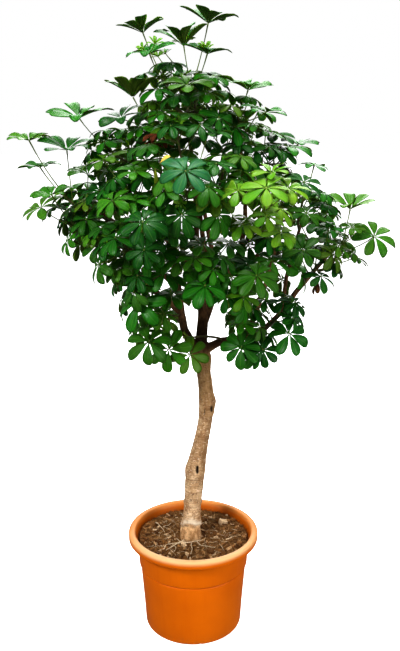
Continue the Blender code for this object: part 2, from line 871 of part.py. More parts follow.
def stem_line(target, leaves, root, limb_radius, limb_direction):
    """Centre points and radii of a shoot's stem, from just outside its limb to its tip."""
    towards = target - root
    out = (towards - limb_direction * towards.dot(limb_direction)).normalized()
    start = root + (limb_radius + STEM_GAP) * out
    elbow = start + 0.45 * towards.length * (0.75 * out + 0.5 * towards.normalized())
    leafy = LEAFY_LENGTH_PER_LEAF * leaves
    leafy_share = min(0.6, leafy / towards.length)
    shares = [(1 - leafy_share) * i / STEM_BARE_SEGMENTS for i in range(STEM_BARE_SEGMENTS)]
    shares += [1 - leafy_share + leafy_share * i / leaves for i in range(leaves + 1)]
    points = []
    for share in shares:
        points.append(start * (1 - share) ** 2 + elbow * 2 * share * (1 - share) + target * share**2)
    radii = [STEM_BASE_RADIUS + (STEM_TIP_RADIUS - STEM_BASE_RADIUS) * share for share in shares]
    points.insert(1, start + STEM_COLLAR * out)
    radii.insert(1, radii[0])
    return points, radii


def grow_stem(name, shoot, grown):
    """A stem from the best point of a limb that leaves its way clear."""
    target = Vector(shoot["tip"])
    leaves = shoot["grown"] + len(shoot["placed"])
    for _, root, limb_radius, limb_direction in limb_points(target):
        points, radii = stem_line(target, leaves, root, limb_radius, limb_direction)
        surface = tube_surface(points[1:], [STEM_CLEARANCE * radius for radius in radii[1:]], 4)
        if grown.is_clear(*surface):
            grown.add(*surface, owner=name)
            return points, radii
    raise ValueError(f"no clear way for the stem of {name}")


def nominal_leaf(points, index, leaves, turn, rng, size, effort):
    """The leaf that the growth rule gives at this place on the stem. More effort strays further from the rule."""
    segment = len(points) - 1 - leaves + index
    foot = (points[segment] + points[segment + 1]) / 2
    stem = (points[segment + 1] - points[segment]).normalized()
    age = 1 - index / max(1, leaves - 1)
    side, other = frame_along(stem, Vector((0.2, 1.0, 0.3)))
    angle = turn + index * GOLDEN_ANGLE + rng.uniform(-0.5, 0.5) * effort
    sideways = side * math.cos(angle) + other * math.sin(angle)
    rise = math.radians(62 - 42 * age + rng.uniform(-20, 20) * effort)
    direction = sideways * math.cos(rise) + stem * math.sin(rise)
    direction = (direction + (0.30 + rng.uniform(-0.2, 0.3) * effort) * UP).normalized()
    if index == leaves - 1:
        foot = points[-1]
        direction = (stem + 0.25 * UP + 0.25 * effort * sideways).normalized()
    petiole = PETIOLE_SHORTEST + (PETIOLE_LONGEST - PETIOLE_SHORTEST) * age ** 0.7
    petiole *= size * rng.uniform(1 - 0.3 * effort, 1 + 0.5 * effort)
    outward = (foot + petiole * direction - CROWN_CENTRE).normalized()
    lean = rng.uniform(0.0, 0.8) * effort
    facing = 0.35 * direction + (0.95 - 0.6 * lean) * UP + (0.25 + lean) * outward
    facing = facing.normalized()
    if facing.dot(direction) < 0.35:
        facing = (facing + 0.6 * direction).normalized()
    radius = LEAF_RADIUS * size * (0.80 + 0.20 * age) * (1 - 0.16 * effort)
    droop = rng.uniform(LEAST_DROOP, MOST_DROOP)
    return Leaf(foot, foot + petiole * direction, facing, radius, droop, rng)


def placed_leaf(points, index, leaves, entry, rng, effort):
    """A leaf whose hub is given. More effort moves it a little and makes it smaller."""
    hub, facing, size, droop = entry
    segment = len(points) - 1 - leaves + index
    foot = (points[segment] + points[segment + 1]) / 2
    if index == leaves - 1:
        foot = points[-1]
    shift = Vector((rng.uniform(-1, 1), rng.uniform(-1, 1), rng.uniform(-1, 1)))
    hub = Vector(hub) + PLACED_SHIFT * effort * shift
    facing = Vector(facing).normalized()
    towards = (hub - foot).normalized()
    if facing.dot(towards) < 0.15:
        facing = (facing + (0.3 - facing.dot(towards)) * towards).normalized()
    radius = PLACED_RADIUS * size * (1 - 0.2 * effort)
    return Leaf(foot, hub, facing, radius, droop, rng)


def enters_gap(points):
    """True if any of these points lies in one of the open gaps beside the fork."""
    for (left, right), (low, high) in OPEN_GAPS:
        for point in points:
            if left < point.x < right and low < point.z + OPEN_GAP_SLANT * point.y < high:
                return True
    return False


def tip_leaf_last(entries, points):
    """The given leaves, ending with the one that best continues the stem, because the last grows from its tip."""
    tip = points[-1]
    stem = (tip - points[-2]).normalized()
    return sorted(entries, key=lambda entry: (Vector(entry[0]) - tip).normalized().dot(stem))


def grow_leaf(name, line, shoot, index, turn, rng, grown):
    """The first leaf found for this place on the stem that clears everything, or None."""
    points, radii = line
    leaves = shoot["grown"] + len(shoot["placed"])
    number = index - shoot["grown"]
    placed = tip_leaf_last(shoot["placed"], points)
    stem = (points[-1] - points[-2]).normalized()
    stem_tree = grown.tree(*tube_surface(points, radii, 4))
    for attempt in range(GROWTH_TRIES):
        effort = attempt / GROWTH_TRIES
        if number >= 0:
            leaf = placed_leaf(points, index, leaves, placed[number], rng, effort)
        else:
            leaf = nominal_leaf(points, index, leaves, turn, rng, shoot["size"], effort)
        blades = leaf.surface()
        backwards = index == leaves - 1 and leaf.direction.dot(stem) < TIP_LEAST_FORWARD
        if backwards or (number < 0 and enters_gap(leaf.rim())):
            continue
        if grown.tree(*blades).overlap(stem_tree):
            continue
        if grown.is_clear(*blades) and grown.is_clear(*leaf.petiole_surface(), own_stem=name):
            grown.add(*blades)
            grown.add(*leaf.petiole_surface())
            return leaf
    return None


def add_leaf(bm, face, leaf):
    """Draw a stem face out into a petiole, and open its end into the leaf."""
    foot_verts = list(face.verts)
    if face.normal.dot(leaf.direction) < 0:
        foot_verts.reverse()
    bm.faces.remove(face)
    under = leaf.hub - LEAF_THICKNESS * leaf.facing
    corners = []
    for i in range(4):
        out = leaf.out(math.pi / 4 + i * math.pi / 2)
        corners.append(bm.verts.new(under + PETIOLE_RADIUS * out))
    middle = sum((vert.co for vert in foot_verts), Vector()) / 4
    start = min(
        range(4),
        key=lambda k: sum(
            ((foot_verts[i].co - middle).normalized() - leaf.out(math.pi / 4 + (i + k) * math.pi / 2)).length
            for i in range(4)
        ),
    )
    corners = corners[start:] + corners[:start]
    for i in range(4):
        bm.faces.new((foot_verts[i], foot_verts[(i + 1) % 4], corners[(i + 1) % 4], corners[i]))
    rim = [bm.verts.new(point) for point in leaf.rim()]
    crest = bm.verts.new(leaf.hub + LEAF_THICKNESS * leaf.facing)
    nearest = []
    for vert in rim:
        nearest.append(min(range(4), key=lambda i: (corners[i].co - vert.co).length))
    for i in range(len(rim)):
        j = (i + 1) % len(rim)
        bm.faces.new((rim[i], rim[j], crest))
        bm.faces.new((corners[nearest[i]], rim[j], rim[i]))
        if nearest[i] != nearest[j]:
            bm.faces.new((corners[nearest[i]], corners[nearest[j]], rim[j]))


def make_shoot(name, line, leaves, found, finish):
    """One leafy shoot as one closed solid."""
    points, radii = line
    bm = tube_bmesh(points, radii, 4)
    bm.faces.ensure_lookup_table()
    bm.normal_update()
    side_faces = [bm.faces[i] for i in range(4 * (len(points) - 1))]
    tip_face = bm.faces[len(bm.faces) - 1]
    for index, leaf in found.items():
        segment = len(points) - 1 - leaves + index
        face = tip_face
        if index < leaves - 1:
            around = side_faces[4 * segment : 4 * segment + 4]
            face = max(around, key=lambda candidate: candidate.normal.dot(leaf.direction))
        add_leaf(bm, face, leaf)
    return new_object(f"shoot_{name}", bm, finish)


def make_chip(name, x, y, heading, length, width, finish):
    """A flat bark chip with a bevelled, slightly bowed outline, lying on the potting mix."""
    bm = bmesh.new()
    bmesh.ops.create_cube(bm, size=1.0)
    bmesh.ops.scale(bm, vec=(length, width, CHIP_THICKNESS), verts=bm.verts)
    bmesh.ops.bevel(bm, geom=bm.edges[:], offset=0.2 * CHIP_THICKNESS, segments=1, affect="EDGES")
    for vert in bm.verts:
        vert.co.y *= 1 - 0.3 * (2 * vert.co.x / length) ** 2
    corners = [Matrix.Rotation(math.radians(heading), 3, "Z") @ vert.co for vert in bm.verts]
    ground = max(soil_height(x + corner.x, y + corner.y) for corner in corners)
    chip = new_object(name, bm, finish)
    chip.location = (x, y, ground + CHIP_THICKNESS / 2 + CHIP_LIFT)
    chip.rotation_euler = (0.0, 0.0, math.radians(heading))
    return chip


def make_strand(name, line, radius, finish):
    """A thin root or twig lying on the potting mix."""
    points = []
    for (x, y), (next_x, next_y) in zip(line, line[1:]):
        for share in (0.0, 1 / 3, 2 / 3):
            points.append((x + (next_x - x) * share, y + (next_y - y) * share))
    points.append(line[-1])
    lying = [Vector((x, y, soil_height(x, y) + radius + STRAND_LIFT)) for x, y in points]
    radii = [radius * (1.2 - 0.6 * i / len(lying)) for i in range(len(lying))]
    return new_object(name, tube_bmesh(lying, radii, 6), finish)


def main():
    for obj in list(bpy.data.objects):
        bpy.data.objects.remove(obj)
    plastic = material("orange_plastic", (0.72, 0.13, 0.008), 0.35)
    mix = material("potting_mix", (0.075, 0.040, 0.022), 0.95)
    bark = material("bark", (0.36, 0.24, 0.15), 0.85)
    green = material("leaf_green", (0.020, 0.110, 0.018), 0.40)
    root = material("dry_root", (0.60, 0.46, 0.30), 0.85)
    make_pot(plastic)
    make_soil(mix)
    make_trunk(bark)
    for i, chip in enumerate(BARK_CHIPS):
        make_chip(f"bark_chip_{i + 1}", *chip, bark)
    for name, line in SURFACE_ROOTS.items():
        make_strand(name, line, SURFACE_ROOT_RADIUS, root)
    make_strand("dry_twig", DRY_TWIG, DRY_TWIG_RADIUS, root)
    grown = Clearance()
    grown.add(*tube_surface(*split_line(TRUNK), TRUNK_SIDES))
    for line in LIMBS.values():
        grown.add(*tube_surface(*split_line(line), LIMB_SIDES))
    stems = {name: grow_stem(name, shoot, grown) for name, shoot in SHOOTS.items()}
    leaves = {name: {} for name in SHOOTS}
    for placed in (True, False):
        for name, shoot in SHOOTS.items():
            rng = random.Random(f"{name} {placed}")
            turn = rng.uniform(0.0, 2 * math.pi)
            places = range(shoot["grown"])
            if placed:
                places = range(shoot["grown"], shoot["grown"] + len(shoot["placed"]))
            for index in places:
                leaf = grow_leaf(name, stems[name], shoot, index, turn, rng, grown)
                if leaf:
                    leaves[name][index] = leaf
                elif placed:
                    print("no room for placed leaf", index - shoot["grown"] + 1, "of", name)
    for name, shoot in SHOOTS.items():
        make_shoot(name, stems[name], shoot["grown"] + len(shoot["placed"]), leaves[name], green)
    print(len(SHOOTS), "shoots with", sum(len(found) for found in leaves.values()), "leaves")


main()
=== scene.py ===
# %% [markdown]
# # A potted umbrella tree
# A small standard tree stands in an orange nursery pot: a bare trunk, a fork, and a round crown of glossy
# leaves whose leaflets spread like the ribs of an umbrella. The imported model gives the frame, which says
# where everything is. The cells below put real surfaces and fine shapes round it, one piece at a time.

# %% Load the frame
import math
import random

import bmesh
import bpy
import numpy as np
from mathutils import Matrix, Vector, noise


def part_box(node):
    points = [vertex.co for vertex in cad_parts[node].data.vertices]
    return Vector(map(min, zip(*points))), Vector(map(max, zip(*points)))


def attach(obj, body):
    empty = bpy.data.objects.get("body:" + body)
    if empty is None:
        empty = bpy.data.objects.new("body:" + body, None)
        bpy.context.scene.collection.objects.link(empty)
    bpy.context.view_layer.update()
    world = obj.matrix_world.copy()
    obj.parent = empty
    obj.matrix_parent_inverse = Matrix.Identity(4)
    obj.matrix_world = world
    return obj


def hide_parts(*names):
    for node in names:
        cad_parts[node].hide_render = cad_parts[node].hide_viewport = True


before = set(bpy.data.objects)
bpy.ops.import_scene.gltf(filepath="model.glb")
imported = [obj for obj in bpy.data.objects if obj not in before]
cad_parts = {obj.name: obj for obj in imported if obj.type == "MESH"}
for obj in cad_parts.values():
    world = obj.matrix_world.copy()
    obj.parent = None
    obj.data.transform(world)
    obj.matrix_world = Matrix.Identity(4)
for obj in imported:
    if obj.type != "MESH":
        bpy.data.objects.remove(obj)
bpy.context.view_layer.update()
UP = Vector((0, 0, 1))

# %% [markdown]
# ## Working by hand, in code
# Blender's operators act on whatever is selected, so each step starts from nothing selected. These helpers
# do what a hand does at the screen: pick objects, or pick points by where they are. A finished piece keeps
# its place in its mesh, with its object at the origin, as the frame's own pieces do.

# %% Selection and finishing helpers
def pick(*objects):
    """Select only these objects and make the first one active."""
    bpy.ops.object.select_all(action="DESELECT")
    for obj in objects:
        obj.select_set(True)
    bpy.context.view_layer.objects.active = objects[0]
    return objects[0]


def pick_points(obj, wanted):
    """In edit mode, select only the points that the test wants."""
    bm = bmesh.from_edit_mesh(obj.data)
    bpy.ops.mesh.select_all(action="DESELECT")
    for vert in bm.verts:
        vert.select_set(wanted(vert.co))
    bm.select_flush(True)
    bmesh.update_edit_mesh(obj.data)


def settle(obj, name, *finishes):
    """Name a piece, put its place into its mesh and give it its finishes."""
    pick(obj)
    bpy.ops.object.convert(target="MESH")
    bpy.ops.object.transform_apply(location=True, rotation=True, scale=True)
    obj.name = obj.data.name = name
    obj.data.materials.clear()
    for finish in finishes:
        obj.data.materials.append(finish.material)
    return obj


def apply_modifier(obj, kind, **settings):
    """Add a modifier, set it and apply it at once."""
    pick(obj)
    modifier = obj.modifiers.new(kind.title(), kind)
    for key, value in settings.items():
        setattr(modifier, key, value)
    bpy.ops.object.modifier_apply(modifier=modifier.name)


# %% [markdown]
# ## Shader maths as plain expressions
# A material's pattern is arithmetic on values that change over the surface. The wire class below carries one
# socket and turns +, - and * into Math nodes, so that a mask can be written as 1 - rib * 0.3. A finish owns
# the node tree, and its add method makes any other node from its type, its settings and what feeds it.

# %% Wires and finishes
class Wire:
    """One output socket of a finish, with the operators that patterns need."""

    def __init__(self, finish, socket):
        self.finish = finish
        self.socket = socket

    def maths(self, operation, first, second=0.0):
        return self.finish.add("ShaderNodeMath", {"operation": operation}, {0: first, 1: second})

    def __add__(self, other):
        return self.maths("ADD", self, other)

    def __radd__(self, other):
        return self.maths("ADD", other, self)

    def __sub__(self, other):
        return self.maths("SUBTRACT", self, other)

    def __rsub__(self, other):
        return self.maths("SUBTRACT", other, self)

    def __mul__(self, other):
        return self.maths("MULTIPLY", self, other)

    def __rmul__(self, other):
        return self.maths("MULTIPLY", other, self)

    def __abs__(self):
        return self.maths("ABSOLUTE", self)


class Finish:
    """A material with a Principled surface, built node by node."""

    def __init__(self, name, **constants):
        self.material = bpy.data.materials.new(name)
        self.material.use_nodes = True
        self.tree = self.material.node_tree
        self.surface = self.tree.nodes["Principled BSDF"]
        self.feed(**{key.replace("_", " "): value for key, value in constants.items()})

    def add(self, kind, settings=None, sockets=None, output=0):
        node = self.tree.nodes.new(kind)
        for key, value in (settings or {}).items():
            if key == "stops":
                ramp = node.color_ramp
                while len(ramp.elements) < len(value):
                    ramp.elements.new(0.5)
                for element, (place, colour) in zip(ramp.elements, value):
                    element.position = place
                    element.color = (*colour, 1.0)
            else:
                setattr(node, key, value)
        for key, value in (sockets or {}).items():
            self.join(value, node.inputs[key])
        return Wire(self, node.outputs[output])

    def join(self, value, socket):
        if isinstance(value, Wire):
            self.tree.links.new(value.socket, socket)
        elif isinstance(value, tuple) and len(value) == 3 and socket.type == "RGBA":
            socket.default_value = (*value, 1.0)
        else:
            socket.default_value = value

    def feed(self, **sockets):
        """Set or link the surface's own sockets."""
        for key, value in sockets.items():
            self.join(value, self.surface.inputs[key])

    def value(self, attribute):
        """A number that the mesh's points carry."""
        return self.add("ShaderNodeAttribute", {"attribute_name": attribute}, output=2)

    def place(self):
        return self.add("ShaderNodeTexCoord", output=3)

    def coordinate(self, axis):
        """0, 1 or 2 for the place's x, y or z."""
        return self.add("ShaderNodeSeparateXYZ", None, {"Vector": self.place()}, output=axis)

    def stretched(self, scale):
        return self.add("ShaderNodeMapping", None, {"Vector": self.place(), "Scale": scale})

    def noise(self, scale, detail=4.0, roughness=0.55, vector=None):
        sockets = {"Vector": vector or self.place(), "Scale": scale, "Detail": detail, "Roughness": roughness}
        return self.add("ShaderNodeTexNoise", None, sockets)

    def step(self, value, low, high):
        """0 below low, 1 above high and a smooth rise between."""
        sockets = {"Value": value, "From Min": low, "From Max": high}
        return self.add("ShaderNodeMapRange", {"interpolation_type": "SMOOTHSTEP"}, sockets)

    def blend(self, factor, first, second, mode="MIX"):
        settings = {"data_type": "RGBA", "blend_type": mode}
        return self.add("ShaderNodeMix", settings, {0: factor, 6: first, 7: second}, output=2)

    def ramp(self, value, *stops):
        return self.add("ShaderNodeValToRGB", {"stops": stops}, {"Fac": value})

    def bump(self, height, distance, strength):
        sockets = {"Height": height, "Distance": distance, "Strength": strength}
        return self.add("ShaderNodeBump", None, sockets)


print("Helpers ready")

# %% [markdown]
# ## Leaf finishes
# An umbrella leaflet is leathery and glossy above, duller and more olive below. Its midrib is a paler line,
# with faint side veins. Young leaves are a bright yellow-green. Each leaflet carries two things for its
# material: a UV map, which runs across and along the blade, and a colour attribute named tone, which holds
# the leaf's youth, a number for the leaf and a number for the leaflet.

# %% Leaf finishes
# light that enters one side of a thin leaf comes out, dimmer, on the other
LEAF_GLOW = {"Subsurface_Weight": 0.35, "Subsurface_Radius": (0.6, 1.0, 0.25), "Subsurface_Scale": 0.002}


def leaf_tone(finish):
    """The tone attribute's three numbers: youth, leaf number, leaflet number."""
    tone = finish.add("ShaderNodeAttribute", {"attribute_name": "tone"})
    return [finish.add("ShaderNodeSeparateColor", None, {"Color": tone}, output=i) for i in range(3)]


def vein_masks(finish):
    """The midrib and the side veins, from the blade's UV map."""
    across_along = finish.add("ShaderNodeUVMap", {"uv_map": "blade"})
    across, along = [
        finish.add("ShaderNodeSeparateXYZ", None, {"Vector": across_along}, output=i) for i in range(2)
    ]
    off_middle = abs(across - 0.5)
    midrib = 1 - finish.step(off_middle, 0.015, 0.06)
    slant = along * 13 - off_middle * 7
    side_veins = finish.step(abs(slant.maths("FRACT", slant) - 0.5), 0.40, 0.50)
    return midrib, side_veins


def make_leaf_upper():
    finish = Finish("leaf_upper", Specular_IOR_Level=0.22, **LEAF_GLOW)
    youth, leaf_number, leaflet_number = leaf_tone(finish)
    midrib, side_veins = vein_masks(finish)
    mottle = finish.noise(38, 5)
    # a leaf number of 0 marks the high front leaves, whose blue-green first colour is a painted reflection of
    # the sky
    deep = finish.ramp(
        leaf_number,
        (0.00, (0.030, 0.190, 0.070)),
        (0.06, (0.006, 0.095, 0.006)),
        (0.50, (0.015, 0.205, 0.004)),
        (0.85, (0.050, 0.260, 0.005)),
        (1.00, (0.130, 0.200, 0.008)),
    )
    fresh = finish.ramp(leaflet_number, (0.0, (0.15, 0.40, 0.012)), (1.0, (0.38, 0.62, 0.035)))
    body = finish.blend(youth, deep, fresh)
    body = finish.blend(0.35 * leaflet_number, body, (0.012, 0.110, 0.012))
    body = finish.blend(0.45 * finish.step(mottle, 0.35, 0.75), body, (0.05, 0.20, 0.01), "SOFT_LIGHT")
    body = finish.blend(0.10 * side_veins, body, (0.10, 0.30, 0.04))
    body = finish.blend(0.22 * midrib, body, (0.16, 0.36, 0.05))
    relief = 0.5 * midrib + 0.35 * side_veins + 0.4 * mottle
    finish.feed(**{
        "Base Color": body,
        "Roughness": 0.24 + 0.16 * finish.noise(55, 3) + 0.05 * leaflet_number,
        "Normal": finish.bump(relief, 0.0006, 0.5),
    })
    return finish


def make_leaf_underside():
    finish = Finish("leaf_underside", Specular_IOR_Level=0.2, **LEAF_GLOW)
    youth, leaf_number, _ = leaf_tone(finish)
    midrib, side_veins = vein_masks(finish)
    dull = finish.ramp(leaf_number, (0.0, (0.055, 0.130, 0.010)), (1.0, (0.115, 0.170, 0.015)))
    body = finish.blend(youth, dull, (0.26, 0.40, 0.03))
    body = finish.blend(0.3 * finish.noise(45, 4), body, (0.09, 0.12, 0.015))
    body = finish.blend(0.45 * midrib, body, (0.22, 0.28, 0.06))
    finish.feed(**{
        "Base Color": body,
        "Roughness": 0.58 + 0.12 * finish.noise(60, 3),
        "Normal": finish.bump(0.8 * midrib + 0.4 * side_veins, 0.0006, 0.6),
    })
    return finish


def make_stalk():
    finish = Finish("stalk", Specular_IOR_Level=0.35)
    youth, _, woodiness = leaf_tone(finish)
    green = finish.blend(youth, (0.11, 0.17, 0.03), (0.28, 0.38, 0.06))
    brown = finish.ramp(finish.noise(120, 5), (0.3, (0.075, 0.045, 0.025)), (0.7, (0.19, 0.12, 0.07)))
    finish.feed(**{
        "Base Color": finish.blend(finish.step(woodiness, 0.3, 0.8), green, brown),
        "Roughness": 0.50 + 0.30 * woodiness,
        "Normal": finish.bump(finish.noise(300, 3), 0.0004, 0.4),
    })
    return finish


leaf_upper = make_leaf_upper()
leaf_underside = make_leaf_underside()
stalk = make_stalk()
print("Leaf finishes:", leaf_upper.material.name, leaf_underside.material.name, stalk.material.name)

# %% [markdown]
# ## One leaflet, shaped row by row
# A leaflet is narrow where it meets the hub, widest past its middle, and round at the end. A grid is the
# natural start: each row of points is scaled to the blade's width there, lifted along a gentle arch and
# folded a little along the midrib. A flipped copy just below, joined at the edge, closes the blade, so it has
# a real underside with its own finish. It is repeated more than two thousand times, so it keeps to 56 faces.

# %% Model the leaflets
BLADE_ROWS = [
    # share of the length, share of the length as width
    (0.00, 0.045),
    (0.11, 0.075),
    (0.24, 0.215),
    (0.42, 0.365),
    (0.62, 0.455),
    (0.80, 0.440),
    (0.93, 0.300),
    (1.00, 0.110),
]
BLADE_COLUMNS = 4
BLADE_THICKNESS = 0.012
# a row that is shaped waits this far along Y, so that the next pick misses it
ASIDE = 4


def model_leaflet(name, arch, fold, twist, curl):
    """A leaflet of length 1 along +Y. Arch lifts it, fold makes its channel, curl turns its tip down."""
    rows = len(BLADE_ROWS) - 1
    bpy.ops.mesh.primitive_grid_add(x_subdivisions=BLADE_COLUMNS, y_subdivisions=rows, size=2)
    blade = bpy.context.object
    blade.data.uv_layers[0].name = "blade"
    bpy.ops.object.mode_set(mode="EDIT")
    for row, (along, width) in enumerate(BLADE_ROWS):
        start = -1 + 2 * row / rows
        pick_points(blade, lambda place: abs(place.y - start) < 0.01)
        height = 4 * arch * along * (1 - along) - curl * max(0.0, along - 0.75) ** 2 * 16
        bpy.ops.transform.resize(value=(width / 2, 1, 1), center_override=(0, start, 0))
        bpy.ops.transform.rotate(value=twist * along, orient_axis="Y", center_override=(0, start, 0))
        bpy.ops.transform.translate(value=(0, along - start + ASIDE, height))
    pick_points(blade, lambda place: True)
    bpy.ops.transform.translate(value=(0, -ASIDE, 0))
    bm = bmesh.from_edit_mesh(blade.data)
    bm.verts.ensure_lookup_table()
    for vert in bm.verts:
        width = np.interp(vert.co.y, *zip(*BLADE_ROWS))
        vert.co.z += fold * abs(vert.co.x) * min(1.0, width / 0.2)
    bmesh.update_edit_mesh(blade.data)
    bpy.ops.mesh.select_all(action="SELECT")
    bpy.ops.mesh.duplicate()
    bpy.ops.mesh.flip_normals()
    bm = bmesh.from_edit_mesh(blade.data)
    for face in bm.faces:
        face.material_index = 1 if face.select else 0
    for vert in bm.verts:
        if vert.select and not vert.is_boundary:
            vert.co.z -= BLADE_THICKNESS
    bmesh.update_edit_mesh(blade.data)
    bpy.ops.mesh.select_all(action="SELECT")
    bpy.ops.mesh.remove_doubles(threshold=1e-5)
    bpy.ops.object.mode_set(mode="OBJECT")
    indices = [face.material_index for face in blade.data.polygons]
    blade = settle(blade, name, leaf_upper, leaf_underside)
    blade.data.polygons.foreach_set("material_index", indices)
    bpy.ops.object.shade_smooth()
    blade.data.color_attributes.new("tone", "FLOAT_COLOR", "POINT")
    bpy.context.collection.objects.unlink(blade)
    return blade


leaflets = [
    model_leaflet("leaflet_flat", 0.05, 0.10, 0.00, 0.02),
    model_leaflet("leaflet_arched", 0.09, 0.16, 0.10, 0.04),
    model_leaflet("leaflet_cupped", 0.04, 0.26, -0.12, 0.02),
    model_leaflet("leaflet_drooping", 0.12, 0.12, -0.05, 0.07),
    model_leaflet("leaflet_turned", 0.07, 0.18, 0.28, 0.05),
]
print("Leaflet faces:", len(leaflets[0].data.polygons))

# %% [markdown]
# ## Reading each shoot from the frame
# The frame holds each leafy shoot as a plain solid: a square stem, square petioles, and a flat star for each
# leaf. The fine leaves have to stand exactly there, so their places are read back from that solid. A leaf's
# crest is the one point where many edges meet. Its neighbours, taken in order, are the leaflets' tips and the
# notches between them. Below it four points end the petiole, and the points they lead to are its foot.

# %% Read stems and leaves
CREST_EDGES = 12


def mean_place(verts):
    """Their mean place. A set has no fixed order, so they are added up in the mesh's own order."""
    ordered = sorted(verts, key=lambda vert: vert.index)
    return sum((vert.co for vert in ordered), Vector()) / len(ordered)


def read_leaf(crest):
    """Hub, facing, leaflet tips and the foot of the petiole, with the points that belong to the leaf."""
    rim = [edge.other_vert(crest) for edge in crest.link_edges]
    facing = sum((face.normal * face.calc_area() for face in crest.link_faces), Vector()).normalized()
    reach = max((vert.co - crest.co).length for vert in rim)
    tips = [vert.co.copy() for vert in rim if (vert.co - crest.co).length > 0.5 * reach]
    corners = set()
    for vert in rim:
        for edge in vert.link_edges:
            other = edge.other_vert(vert)
            if other is not crest and other not in rim:
                corners.add(other)
    feet = set()
    for corner in corners:
        for edge in corner.link_edges:
            other = edge.other_vert(corner)
            if other not in corners and other not in rim:
                feet.add(other)
    leaf = {"hub": crest.co.copy(), "facing": facing, "tips": tips, "foot": mean_place(feet)}
    return leaf, {crest, *rim, *corners}


def walk(start, among):
    """Points by their number of steps from the start, using only the points among these."""
    layers = [set(start)]
    seen = set(start)
    while layers[-1]:
        layer = set()
        for vert in layers[-1]:
            for edge in vert.link_edges:
                other = edge.other_vert(vert)
                if other in among and other not in seen:
                    layer.add(other)
                    seen.add(other)
        layers.append(layer)
    return layers[:-1]


def read_shoot(node):
    """A shoot's leaves and the centre points of its stem, from base to tip."""
    bm = bmesh.new()
    bm.from_mesh(node.data)
    bmesh.ops.remove_doubles(bm, verts=bm.verts, dist=1e-5)
    bm.verts.index_update()
    bm.normal_update()
    leaves = []
    leafy = set()
    for vert in bm.verts:
        if len(vert.link_edges) >= CREST_EDGES:
            leaf, points = read_leaf(vert)
            leaves.append(leaf)
            leafy |= points
    stem = [vert for vert in bm.verts if vert not in leafy]
    middle = sum((leaf["foot"] for leaf in leaves), Vector()) / len(leaves)
    far = max(stem, key=lambda vert: (vert.co - middle).length)
    base = sorted(stem, key=lambda vert: (vert.co - far.co).length)[:4]
    line = [mean_place(layer) for layer in walk(base, set(stem))]
    bm.free()
    return leaves, line


shoot_names = sorted(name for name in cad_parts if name.startswith("shoot_"))
shoots = {name: read_shoot(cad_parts[name]) for name in shoot_names}
print(len(shoots), "shoots,", sum(len(leaves) for leaves, line in shoots.values()), "leaves")

# %% [markdown]
# ## Growing the fine shoots
# A leaflet is a copy of one of the modelled blades, turned so that its length runs from the hub to the tip
# and its upper side faces as the leaf does. Stems and petioles are curves with a round section, thicker at
# the foot and at the hub, as they are on the plant. Everything on one shoot is then joined into one piece.

# %% Grow the shoots
STEM_RADIUS = (0.0036, 0.0024)
PETIOLE_RADII = (0.0024, 0.0015, 0.0012, 0.0011, 0.0012, 0.0019)
BLADE_START = 0.04
# how young the leaves of these shoots are, from 0 to 1
BRIGHT_SHOOTS = {"shoot_bright": 0.85, "shoot_right_outer": 0.35, "shoot_left_low": 0.25}
# leaves this near the front of the crown and this high get a painted reflection of the sky: a cooler green
frame_front = min(leaf["hub"].y for leaves, line in shoots.values() for leaf in leaves)
SKY_REFLECTION_DEPTH = 0.055
SKY_REFLECTION_HEIGHT = 1.22
# the topmost leaves carry young blades at their hubs
TUFT_HEIGHT = 1.51


def set_tone(mesh, youth, leaf_number, last_number):
    values = np.tile((youth, leaf_number, last_number, 1.0), len(mesh.vertices))
    mesh.color_attributes["tone"].data.foreach_set("color", values)


def copy_blade(blade, hub, tip, facing, roll, breadth):
    """A copy of a blade from the hub to the tip, turned about its length by the roll."""
    along = tip - hub
    length = along.length
    along.normalize()
    across = along.cross(facing).normalized()
    upward = across.cross(along)
    rolled_across = across * math.cos(roll) + upward * math.sin(roll)
    rolled_upward = upward * math.cos(roll) - across * math.sin(roll)
    columns = (rolled_across * length * breadth, along * length, rolled_upward * length)
    matrix = Matrix([[column[row] for column in columns] + [hub[row]] for row in range(3)] + [[0, 0, 0, 1]])
    piece = blade.copy()
    piece.data = blade.data.copy()
    piece.data.transform(matrix)
    bpy.context.collection.objects.link(piece)
    return piece


def round_tube(name, points, radii, finish):
    """A smooth round tube through the points."""
    curve = bpy.data.curves.new(name, "CURVE")
    curve.dimensions = "3D"
    curve.bevel_depth = 1.0
    curve.bevel_resolution = 1
    curve.use_fill_caps = True
    spline = curve.splines.new("POLY")
    spline.points.add(len(points) - 1)
    for place, point, radius in zip(spline.points, points, radii):
        place.co = (*point, 1.0)
        place.radius = radius
    tube = bpy.data.objects.new(name, curve)
    bpy.context.collection.objects.link(tube)
    pick(tube)
    bpy.ops.object.convert(target="MESH")
    tube.data.color_attributes.new("tone", "FLOAT_COLOR", "POINT")
    tube.data.materials.append(finish.material)
    bpy.ops.object.shade_smooth()
    return tube


def smooth_line(points, steps):
    """Points on a smooth curve through the given points."""
    line = []
    for i in range(len(points) - 1):
        before = points[max(i - 1, 0)]
        after = points[min(i + 2, len(points) - 1)]
        start, end = points[i], points[i + 1]
        for k in range(steps):
            t = k / steps
            line.append(
                0.5 * (2 * start + (end - before) * t + (2 * before - 5 * start + 4 * end - after) * t**2
                       + (3 * start - before - 3 * end + after) * t**3)
            )
    line.append(points[-1])
    return line


